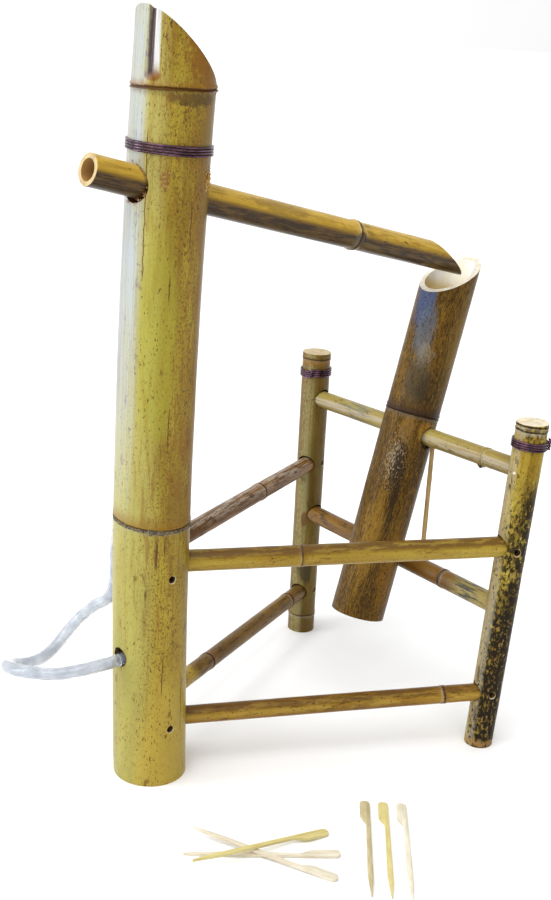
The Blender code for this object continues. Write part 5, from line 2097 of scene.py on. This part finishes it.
@dataclass
class Binding:
    """Copper wire wound four times round a post, its two ends twisted together."""

    shop: Workshop
    name: str
    axis: Callable[[float], Vector]
    radius: Callable[[float], float]
    height: float
    start: float
    finish: Material
    wire: float = 0.0010
    pitch: float = 0.00245
    turns: float = 4.0

    def pigtail(self) -> Mesh:
        """The two ends twisted round each other, laid up over the turns.

        Returns:
            The mesh.
        """
        turn = self.start
        base = self.axis(self.height) + (self.radius(self.height) + 0.0034) * level(turn)
        rise = self.turns * self.pitch / 2
        strands = []
        for phase in (0.0, math.pi):
            points = []
            for step in range(37):
                share = step / 36
                angle = phase + share * 3.0 * math.pi
                spoke = 0.00105 * (math.cos(angle) * level(turn) + math.sin(angle) * level(turn + 90.0))
                out = 0.0006 * share * level(turn) + level(turn + 90.0) * 0.003 * share
                points.append(base + spoke + out + UP * rise * (2.3 * share - 1.0))
            strands.append(swept(points, self.wire * 0.95, 10))
        return joined(strands)

    def build(self) -> Object:
        """Wind the wire and twist its ends.

        Returns:
            The binding.
        """
        setout = self.shop.setout
        ring = self.radius(self.height) + setout.gap + self.wire
        base = bpy.data.meshes.new("start")
        mesh = self.shop.winding.grow(base, {
            "Turns": self.turns, "Pitch": self.pitch, "Ring Radius": ring, "Wire Radius": self.wire,
            "Finish": self.finish})
        lean = (self.axis(self.height + 0.01) - self.axis(self.height - 0.01)).normalized()
        rise = self.turns * self.pitch / 2
        middle = self.axis(self.height)
        mesh.transform(aimed(middle, middle + lean) @ Matrix.Rotation(math.radians(self.start), 4, "Z")
                       @ Matrix.Translation(-rise * UP))
        outward(mesh)
        tail = self.pigtail()
        tail.materials.append(self.finish)
        both = joined([mesh, tail])
        return set_up(self.name + "_wire", both, Body.STAND, Slot.WIRE, self.name, sharp=60.0)


@dataclass
class Hose:
    """The clear hose: a riser inside the main post, and a free tail that loops up behind it."""

    shop: Workshop
    bore: float = 0.0048
    bend: float = 0.0340
    knots: tuple[Point, ...] = (
        (-0.0423, 0.0006, 0.1370), (-0.0550, 0.0006, 0.1370), (-0.0824, 0.0053, 0.1356),
        (-0.1022, 0.0144, 0.1334),
        (-0.1169, 0.0286, 0.1320), (-0.1261, 0.0489, 0.1281), (-0.1264, 0.0688, 0.1228),
        (-0.1189, 0.0876, 0.1152),
        (-0.1048, 0.1017, 0.1055), (-0.0844, 0.1092, 0.0975), (-0.0633, 0.1139, 0.0957),
        (-0.0440, 0.1186, 0.1029),
        (-0.0277, 0.1190, 0.1172), (-0.0167, 0.1120, 0.1336), (-0.0113, 0.0968, 0.1500),
        (-0.0114, 0.0804, 0.1615),
        (-0.0138, 0.0625, 0.1755), (-0.0160, 0.0514, 0.1922), (-0.0174, 0.0465, 0.2138),
        (-0.0173, 0.0466, 0.2352),
        (-0.0154, 0.0476, 0.2572), (-0.0134, 0.0480, 0.2792), (-0.0112, 0.0482, 0.3026),
        (-0.0094, 0.0485, 0.3218))

    def route(self) -> list[Vector]:
        """The tail's middle line: a smooth curve through its knots.

        Returns:
            Points close together along it.
        """
        knots = [Vector(knot) for knot in self.knots]
        ends = [2 * knots[1] - knots[2]] + knots[1:] + [2 * knots[-1] - knots[-2]]
        points = [knots[0], knots[0].lerp(knots[1], 0.5)]
        for before, left, right, after in zip(ends, ends[1:], ends[2:], ends[3:]):
            for step in range(6):
                t = step / 6
                pull, push = (right - before) / 2, (after - left) / 2
                points.append((2 * t ** 3 - 3 * t ** 2 + 1) * left + (t ** 3 - 2 * t ** 2 + t) * pull
                              + (3 * t ** 2 - 2 * t ** 3) * right + (t ** 3 - t ** 2) * push)
        return points + [knots[-1]]

    def tail(self) -> Object:
        """The free tail, with its real length logged.

        Returns:
            The piece.
        """
        points = self.route()
        mesh = swept(points, self.shop.setout.hose_r, 40, self.bore)
        mesh.materials.append(ClearHose("clear_hose_tail").material())
        item = set_up("hose_tail_tube", mesh, Body.STAND, Slot.HOSE, "hose_tail", sharp=50.0)
        length = sum((after - before).length for before, after in zip(points, points[1:]))
        path = [tuple(point + FOOT) for point in points]
        LOG.info("hose tail %.4f m", length)
        return item

    def riser(self) -> Object:
        """The riser from the hose hole up to the spout, with its bore.

        Returns:
            The piece.
        """
        setout = self.shop.setout
        mouth = Vector((-0.0420, setout.hose_y, setout.hose_z))
        points = [mouth, mouth + Vector((0.0020, 0.0, 0.0))]
        for step in range(17):
            angle = math.pi / 2 * step / 16
            points.append(mouth + Vector((0.0040 + self.bend * math.sin(angle), 0.0,
                                          self.bend * (1.0 - math.cos(angle)))))
        bend = points[-1]
        upper = SPANS["upper_front_rail"].inner_z - SPANS["upper_front_rail"].radius - setout.hose_r
        for step in range(1, 17):
            share = step / 16
            ease = share * share * (3.0 - 2.0 * share)
            height = bend.z + share * (upper - bend.z)
            place = bend.lerp(setout.riser_axis(height), ease)
            points.append(Vector((place.x, place.y, height)))
        top = setout.riser_top()
        points += [setout.riser_axis(upper + (top.z - upper) * step / 24) for step in range(1, 25)]
        mesh = swept(points, setout.hose_r, 32, self.bore)
        mesh.materials.append(ClearHose("clear_hose_riser").material())
        return set_up("hose_riser_tube", mesh, Body.STAND, Slot.HOSE, "hose_riser", sharp=50.0)


@dataclass
class Pegs:
    """Six flat split-bamboo pegs: three crossed in a pile and three in a row."""

    length: float = 0.1500
    head: float = 0.0100
    stick: float = 0.0043
    thick: float = 0.0030
    worn: float = 0.0004

    def outline(self) -> list[tuple[float, float]]:
        """One peg's flat outline from its round head, along the straight edge and back.

        Returns:
            The corners.
        """
        middle, half = self.stick / 2, self.head / 2
        found = []
        for step in range(11):
            angle = math.pi * step / 10
            found.append((0.0040 * (1.0 - math.sin(angle)), half * (1.0 + math.cos(angle)) - middle))
        taper, head, shoulder = 0.86 * self.length, 0.16 * self.length, 0.27 * self.length
        found += [(taper, -middle), (self.length, -0.0004), (self.length, 0.0004), (taper, middle)]
        found.append((0.78 * self.length, middle + 0.0008))
        for step in range(11):
            share = step / 10
            ease = (1.0 - math.cos(math.pi * share)) / 2
            found.append((shoulder + share * (head - shoulder), middle + ease * (self.head - self.stick)))
        return found

    def mesh(self) -> Mesh:
        """One peg lying on its flat, its edges worn round.

        Returns:
            The mesh.
        """
        body = bmesh.new()
        face = body.faces.new([body.verts.new((along, over, 0.0)) for along, over in self.outline()])
        drawn = bmesh.ops.extrude_face_region(body, geom=[face])
        lifted = [item for item in drawn["geom"] if isinstance(item, bmesh.types.BMVert)]
        bmesh.ops.translate(body, vec=UP * self.thick, verts=lifted)
        bmesh.ops.recalc_face_normals(body, faces=body.faces)
        item = standing("worn", finished(body))
        bevel = item.modifiers.new("worn", "BEVEL")
        bevel.width = self.worn
        bevel.segments = 2
        bevel.limit_method = "ANGLE"
        bevel.angle_limit = math.radians(40.0)
        return baked(item)

    def lay(self, number: int, head: tuple[float, float], heading: float, lift: float, over: bool,
            wood: Stripwood) -> Object:
        """Lay one peg with its head's end on the ground and its point lifted.

        Args:
            number: Which peg it is.
            head: Where its head's end lies.
            heading: Where it points, in degrees.
            lift: How far its point is lifted, as an angle.
            over: Whether it is turned over.
            wood: Its finish.

        Returns:
            The peg.
        """
        placing = Matrix.Translation((head[0], head[1], 0.0))
        placing = placing @ Matrix.Rotation(math.radians(heading), 4, "Z") @ Matrix.Rotation(-lift, 4, "Y")
        if over:
            placing = placing @ Matrix.Translation((0.0, 0.0, self.thick)) @ Matrix.Rotation(math.pi, 4, "X")
        mesh = self.mesh()
        mesh.materials.append(wood.material(FOOT_PLACING @ placing))
        mesh.transform(placing)
        return set_up(f"peg_{number}_wood", mesh, Body.STAND, Slot.PEG, f"peg_{number}")

    def build(self) -> list[Object]:
        """Lay the pile and the row.

        Returns:
            The six pegs.
        """
        cream, yellow = ((0.74, 0.68, 0.54), (0.60, 0.51, 0.36)), ((0.66, 0.57, 0.24), (0.52, 0.42, 0.14))
        olive, pale = ((0.56, 0.48, 0.28), (0.40, 0.33, 0.16)), ((0.76, 0.71, 0.57), (0.62, 0.55, 0.40))
        woods = [Stripwood(f"peg_{index + 1}_grain", *tones)
                 for index, tones in enumerate((cream, cream, yellow, olive, yellow, pale))]
        pile, step = Vector((-0.0050, -0.1815)), self.thick + 0.0003
        found = [self.lay(1, (0.0612, -0.2318), 143.8, 0.0, True, woods[0])]
        reach = self.stick / math.sin(math.radians(143.8 - 115.9))
        distance = (pile - Vector((0.0325, -0.2574))).length
        lift = math.atan2(step, distance - reach)
        found.append(self.lay(2, (0.0325, -0.2574), 115.9, lift, True, woods[1]))
        crest = math.tan(lift) * (distance + reach) + step
        distance = (pile - Vector((0.0770, -0.1928))).length
        lift = math.atan2(crest, distance - reach / 2)
        found.append(self.lay(3, (0.0770, -0.1928), 171.9, lift, False, woods[2]))
        for index in range(3):
            head = (0.1445 + index * 0.01405, -0.1810 - index * 0.0123)
            found.append(self.lay(index + 4, head, 228.1, 0.0, True, woods[index + 3]))
        return found


@dataclass
class SmallSticks:
    """The keeper stick between the two bars, and the dowel that locks the axle."""

    shop: Workshop
    top_y: float = -0.0335
    low_y: float = -0.0400
    dowel_depth: float = 0.0060

    def ends(self) -> tuple[Vector, Vector]:
        """The keeper stick's lower and upper end.

        Returns:
            The lower end and the upper end.
        """
        setout = self.shop.setout
        rails = setout.rails()
        top, low = rails["axle_bar"].at_y(self.top_y), rails["stop_bar"].at_y(self.low_y)
        line = (top - low).normalized()
        return (low + (rails["stop_bar"].radius - setout.keeper_seat) * line,
                top - (rails["axle_bar"].radius - setout.keeper_seat) * line)

    def keeper(self) -> Object:
        """The keeper stick, a little uneven along its length.

        Returns:
            The piece.
        """
        low, high = self.ends()
        radius = self.shop.setout.keeper_r
        points, sizes = [], []
        for step in range(49):
            share = step / 48
            points.append(low.lerp(high, share))
            worn = 0.00018 * abs(math.sin(9.0 * share))
            sizes.append(radius - worn - 0.0001 * math.sin(31.0 * share) ** 2)
        mesh = swept(points, sizes, 20)
        turn = Vector((1.0, 0.0, 0.0)).rotation_difference(high - low).to_matrix().to_4x4()
        wood = Stripwood("keeper_grain", (0.40, 0.265, 0.090), (0.25, 0.145, 0.045), 1.4)
        mesh.materials.append(wood.material(FOOT_PLACING @ Matrix.Translation(low) @ turn))
        return set_up("keeper_stick_cane", mesh, Body.STAND, Slot.BROWN_CANE, "keeper_stick", sharp=50.0)

    def keeper_bore(self, upper: bool) -> Mesh:
        """The seat of the keeper stick in the axle bar, or in the stop bar.

        Args:
            upper: Whether it is the seat in the axle bar.

        Returns:
            What the drill takes out.
        """
        setout = self.shop.setout
        low, high = self.ends()
        line = (high - low).normalized()
        reach = (setout.keeper_seat + setout.overrun) * line
        ends = (high + setout.gap * line, high - reach) if upper else (low - setout.gap * line, low + reach)
        return drill(*ends, setout.keeper_r + setout.gap, self.shop.torn, 24)

    def dowel_ends(self) -> tuple[Vector, Vector]:
        """The dowel's inner and outer end.

        Returns:
            The inner end and the outer end.
        """
        setout, axle = self.shop.setout, SPANS["axle_bar"]
        place, out = setout.front_axis(axle.inner_z), level(180.0)
        return (place + (axle.radius - self.dowel_depth) * out,
                place + (setout.front_radius(axle.inner_z) + setout.dowel_proud) * out)

    def dowel_bore(self) -> Mesh:
        """The dowel's hole in the axle bar.

        Returns:
            What the drill takes out.
        """
        setout = self.shop.setout
        inner, outer = self.dowel_ends()
        out = level(180.0)
        return drill(inner - setout.gap * out, outer + setout.overrun * out, setout.dowel_r + setout.gap,
                     self.shop.torn, 24)

    def dowel(self) -> Object:
        """The dowel, its end rounded.

        Returns:
            The piece.
        """
        inner, outer = self.dowel_ends()
        radius = self.shop.setout.dowel_r
        shares = ((0.0, 0.9), (0.04, 1.0), (0.95, 1.0), (0.98, 0.93), (0.995, 0.7), (1.0, 0.35))
        mesh = swept([inner.lerp(outer, share) for share, _ in shares],
                     [radius * size for _, size in shares], 24)
        wood = Stripwood("dowel_grain", (0.84, 0.78, 0.66), (0.66, 0.55, 0.38))
        mesh.materials.append(wood.material(FOOT_PLACING @ Matrix.Translation(inner)))
        return set_up("axle_dowel_wood", mesh, Body.STAND, Slot.PEG, "axle_dowel")


@dataclass
class Frame:
    """The rails and bars, each in its own finish."""

    shop: Workshop
    sticks: SmallSticks

    def skins(self) -> dict[str, tuple[Skin, Slot]]:
        """Each cane's finish and material slot.

        Returns:
            Them by the cane's name.
        """
        # Painted light: a pale grey-lilac underside, for the light thrown up from the white floor.
        under = Side(Vector((0.1, 0.1, -1.0)), (0.30, 0.25, 0.24), 0.5, 0.45, 0.98, 0.2)
        # Painted highlight: a yellow band on the side turned to the left softbox and the camera.
        painted_highlight = Side(Vector((-0.45, -0.65, 0.35)), (0.50, 0.345, 0.060), 0.5, 0.55, 1.0, 0.7)
        smudge = Side(Vector((-0.1, -0.2, 1.0)), (0.12, 0.056, 0.008), 0.92, 0.40, 0.85, 0.5, grain(200, 40),
                      0.45)
        # Pale streaks on the top: partly wear, partly a painted sheen where the overhead light falls.
        worn = Side(Vector((-0.2, -0.4, 0.9)), (0.42, 0.35, 0.27), 0.75, 0.3, 0.9, 1.0, grain(420, 22), 0.49)
        rough = Side(Vector((0.0, 0.0, 1.0)), (0.055, 0.030, 0.012), 0.8, -1.1, -1.0, 1.0, grain(420, 60),
                     0.56)
        blue = Patch((0.0, 0.0, 0.050), (0.016, 0.016, 0.044), (0.018, 0.028, 0.042), 0.95, 0.9,
                     grain(420, 50))
        # Painted reflection: a pale pinkish-grey band along the side facing the left softbox.
        painted_reflection_band = Side(Vector((-0.9, 0.0, 0.10)), (0.48, 0.42, 0.36), 0.50, 0.82, 0.99, 0.9, grain(320, 9),
                      0.48)
        # Painted shade: dull brown along the underside.
        painted_underside_shade = Side(Vector((-0.40, 0.0, -0.90)), (0.14, 0.095, 0.030), 0.75, 0.62, 0.99, 0.6,
                     grain(320, 20), 0.45)
        mossy = Patch((0.0, 0.0, 0.250), (0.016, 0.016, 0.045), (0.11, 0.13, 0.095), 0.8, 1.1,
                      grain(300, 30))
        nub = Patch((-0.0058, 0.0112, 0.0608), (0.0052, 0.0052, 0.0060), (0.012, 0.010, 0.008), 1.0, 0.1)
        # A dark brown blotch by the rear post: partly the bar's own colour, partly painted shade.
        dark_and_shaded_far_end = Patch((0.0, 0.0, 0.300), (0.016, 0.016, 0.030), (0.055, 0.028, 0.010), 0.85, 1.2,
                      grain(300, 90))
        straw = Patch((0.0, 0.0, 0.040), (0.016, 0.016, 0.046), (0.38, 0.300, 0.085), 0.85, 0.15)
        fresh = Patch((0.0, 0.0, 0.040), (0.016, 0.016, 0.038), (0.50, 0.34, 0.050), 0.9, 0.1)
        brown = (0.16, 0.085, 0.016)
        usual = grain(170, 50)
        rows = {
            "upper_front_rail": (
                Slot.GOLD_CANE, {"line": 0.0005, "brown_reach": 0.006, "wax_share": 0.1},
                Skin("", (0.46, 0.330, 0.045), (0.34, 0.215, 0.022), (0.14, 0.070, 0.010), 0.34,
                     grain(150, 50), (0.05, 0.024, 0.008), 0.35, mottle=brown, shine=0.2,
                     sides=(smudge, under))),
            "lower_front_rail": (
                Slot.BROWN_CANE, {"line": 0.0008, "brown_reach": 0.008},
                Skin("", (0.34, 0.175, 0.014), (0.20, 0.092, 0.007), (0.08, 0.038, 0.008), 0.35, usual,
                     (0.04, 0.020, 0.007), 0.45, mottle=brown, mottle_share=0.5, shine=0.16,
                     sides=(painted_highlight, smudge))),
            "upper_rear_rail": (
                Slot.BROWN_CANE, {"line": 0.0009, "wax_reach": 0.010},
                Skin("", (0.30, 0.145, 0.032), (0.16, 0.070, 0.014), (0.055, 0.030, 0.016), 0.35, usual,
                     (0.03, 0.018, 0.010), 0.45, mottle=(0.07, 0.035, 0.016), mottle_share=0.5, shine=0.16,
                     sides=(worn, rough))),
            "lower_rear_rail": (
                Slot.BROWN_CANE, {"line": 0.0012},
                Skin("", (0.27, 0.150, 0.024), (0.16, 0.083, 0.014), (0.075, 0.040, 0.013), 0.35, usual,
                     (0.04, 0.022, 0.010), 0.45, mottle=(0.09, 0.047, 0.014), mottle_share=0.5, shine=0.16,
                     sides=(rough,), patches=(fresh,))),
            "axle_bar": (
                Slot.GOLD_CANE, {"line": 0.0004, "line_share": 0.3, "brown_share": 0.2, "wax_share": 0.1},
                Skin("", (0.38, 0.300, 0.085), (0.25, 0.175, 0.032), (0.14, 0.085, 0.025), 0.25,
                     grain(130, 40), (0.05, 0.035, 0.015), 0.30, mottle=(0.14, 0.105, 0.030),
                     patches=(mossy, nub), sides=(painted_highlight, painted_reflection_band, painted_underside_shade))),
            "stop_bar": (
                Slot.GOLD_CANE, {"line": 0.0012, "brown_share": 0.3},
                Skin("", (0.23, 0.112, 0.015), (0.14, 0.062, 0.008), (0.07, 0.035, 0.012), 0.35,
                     grain(150, 50), (0.035, 0.022, 0.012), 0.40, mottle=(0.10, 0.058, 0.018),
                     patches=(straw, blue, dark_and_shaded_far_end), sides=(painted_highlight,))),
        }
        rails = self.shop.setout.rails()
        found = {}
        for name, (slot, marks, skin) in rows.items():
            rings = tuple(Ring(share * rails[name].length, **marks) for share in rails[name].shares)
            found[name] = replace(skin, name=name + "_skin", rings=rings), slot
        return found

    def bores(self, name: str) -> list[Mesh]:
        """What is drilled through a cane.

        Args:
            name: The cane's name.

        Returns:
            The shapes that are taken out.
        """
        setout, torn = self.shop.setout, self.shop.torn
        rail = setout.rails()[name]
        if name == "axle_bar":
            return [self.sticks.keeper_bore(True), self.sticks.dowel_bore()]
        if name == "stop_bar":
            return [self.sticks.keeper_bore(False)]
        post_r = (setout.front_radius if "front" in name else setout.rear_radius)(rail.outer.z)
        place = rail.outer + UP * POST_PEG_RISES[name]
        cutters = [setout.peg_bores(place, across(rail.line), post_r, rail.radius, torn)[1]]
        if name in MAIN_PEG_RISES:
            place, main_r = rail.inner + UP * MAIN_PEG_RISES[name], setout.main_radius(rail.inner.z)
            cutters.append(setout.peg_bores(place, level(-90.0), main_r, rail.radius, torn)[1])
        return cutters

    def build(self) -> list[Object]:
        """Make every cane.

        Returns:
            The canes.
        """
        skins = self.skins()
        buds = {"axle_bar": (118.0, 0.0028)}
        return [Cane(self.shop, rail, *skins[name], self.bores(name), bud=buds.get(name, Cane.bud)).build()
                for name, rail in self.shop.setout.rails().items()]


@dataclass(frozen=True)
class PhotographCamera:
    """The camera at the photograph's place and angle."""

    place: Point = (-0.860099, -0.899931, 0.754370)
    yaw: float = 0.7134
    pitch: float = 0.322
    roll: float = -0.064
    lens: float = 51.6464

    def build(self) -> Object:
        """Stand the camera and make it the scene's.

        Returns:
            The camera.
        """
        ahead = Vector((math.sin(self.yaw) * math.cos(self.pitch), math.cos(self.yaw) * math.cos(self.pitch),
                        -math.sin(self.pitch)))
        right = Vector((math.cos(self.yaw), -math.sin(self.yaw), 0.0))
        down = ahead.cross(right)
        turned_right = math.cos(self.roll) * right + math.sin(self.roll) * down
        turned_down = -math.sin(self.roll) * right + math.cos(self.roll) * down
        data = bpy.data.cameras.new("photograph_camera")
        data.lens = self.lens
        data.sensor_width = 36.0
        data.clip_start, data.clip_end = 0.05, 60.0
        camera = standing("photograph_camera", data)
        camera.matrix_world = (Matrix.Translation(self.place)
                               @ Matrix((turned_right, -turned_down, -ahead)).transposed().to_4x4())
        bpy.context.scene.camera = camera
        return camera


@dataclass(frozen=True)
class Studio:
    """A plain pale floor in a pale room, bright on the left and dim on the right, with a softbox on the left
    and a soft overhead sun.
    """

    floor_size: float = 200.0
    bright: Vector = field(default_factory=lambda: Vector((-0.25, 0.95, 0.18)).normalized())
    dim_room: float = 0.30
    bright_room: float = 1.02
    key: float = 13.0
    overhead: float = 2.0
    daylight: Colour = (0.86, 0.94, 1.0)

    def floor(self) -> Object:
        """The pale floor.

        Returns:
            The floor, which is no part of the object.
        """
        bench = Bench("studio_floor", (0.95, 0.95, 0.95))
        cloud = bench.noise(grain(1.3, 1.3))
        bench.lay(cloud * 0.5, (0.93, 0.93, 0.935))
        body = bmesh.new()
        bmesh.ops.create_grid(body, x_segments=4, y_segments=4, size=self.floor_size / 2)
        mesh = finished(body)
        mesh.materials.append(bench.done(cloud * 0.1 + 0.8))
        mesh.transform(Matrix.Translation((0.0, 0.0, -0.0002)))
        item = standing("studio_floor", mesh)
        return item

    def room(self) -> None:
        """A room whose walls fade from bright to dim round the object."""
        world = bpy.data.worlds.new("pale_room")
        world.use_nodes = True
        nodes = Nodes(world.node_tree)
        facing = nodes.dot(nodes.out("ShaderNodeTexCoord", port="Generated"), self.bright)
        fade = nodes.out("ShaderNodeMapRange", {
            "Value": facing, "From Min": -0.75, "From Max": 0.50, "To Min": self.dim_room,
            "To Max": self.bright_room})
        background = world.node_tree.nodes["Background"].inputs
        nodes.feed(background["Strength"], fade)
        nodes.feed(background["Color"], (1.0, 1.0, 1.0))
        bpy.context.scene.world = world

    def softbox(self, name: str, place: Point, target: Point, size: tuple[float, float],
                power: float) -> None:
        """One soft light aimed at a point.

        Args:
            name: Its name.
            place: Where it stands.
            target: The point that it faces.
            size: Its width and height.
            power: Its power in watts.
        """
        data = bpy.data.lights.new(name, "AREA")
        data.shape = "RECTANGLE"
        data.size, data.size_y = size
        data.energy = power
        data.color = self.daylight
        light = standing(name, data)
        light.location = place
        light.rotation_euler = (Vector(target) - Vector(place)).to_track_quat("-Z", "Y").to_euler()

    def build(self) -> None:
        """Lay the floor, light the room, stand the lights and show colours as they are."""
        self.floor()
        self.room()
        self.softbox("left_softbox", (-1.40, 0.835, 0.78), (-0.17, 0.067, 0.60), (0.6, 1.5), self.key)
        data = bpy.data.lights.new("overhead_light", "SUN")
        data.energy = self.overhead
        data.angle = math.radians(60.0)
        light = standing("overhead_light", data)
        light.rotation_euler = Vector((0.42, 0.25, -1.0)).to_track_quat("-Z", "Y").to_euler()
        bpy.context.scene.view_settings.view_transform = "Standard"


def main() -> None:
    """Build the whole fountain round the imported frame."""
    logging.basicConfig(level=logging.INFO, format="%(name)s %(message)s")
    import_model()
    PhotographCamera().build()
    shop = Workshop()
    setout = shop.setout
    hose = Hose(shop)
    hose.tail()
    hose.riser()
    post = MainPost(shop)
    post.build()
    post.crust()
    post.torn_places()
    front_short_post(shop).build()
    rear_short_post(shop).build()
    sticks = SmallSticks(shop)
    sticks.keeper()
    sticks.dowel()
    Frame(shop, sticks).build()
    Spout(shop).build()
    Rocker(shop).build()
    wire = Wire("maroon_wire").material()
    for name, axis, radius, height, start in (
            ("main_post_binding", setout.main_axis, setout.main_radius, 0.6400, 60.0),
            ("front_post_binding", setout.front_axis, setout.front_radius, 0.3490, -52.0),
            ("rear_post_binding", setout.rear_axis, setout.rear_radius, 0.3480, -150.0)):
        Binding(shop, name, axis, radius, height, start, wire).build()
    Pegs().build()
    Studio().build()


if __name__ == "__main__":
    main()
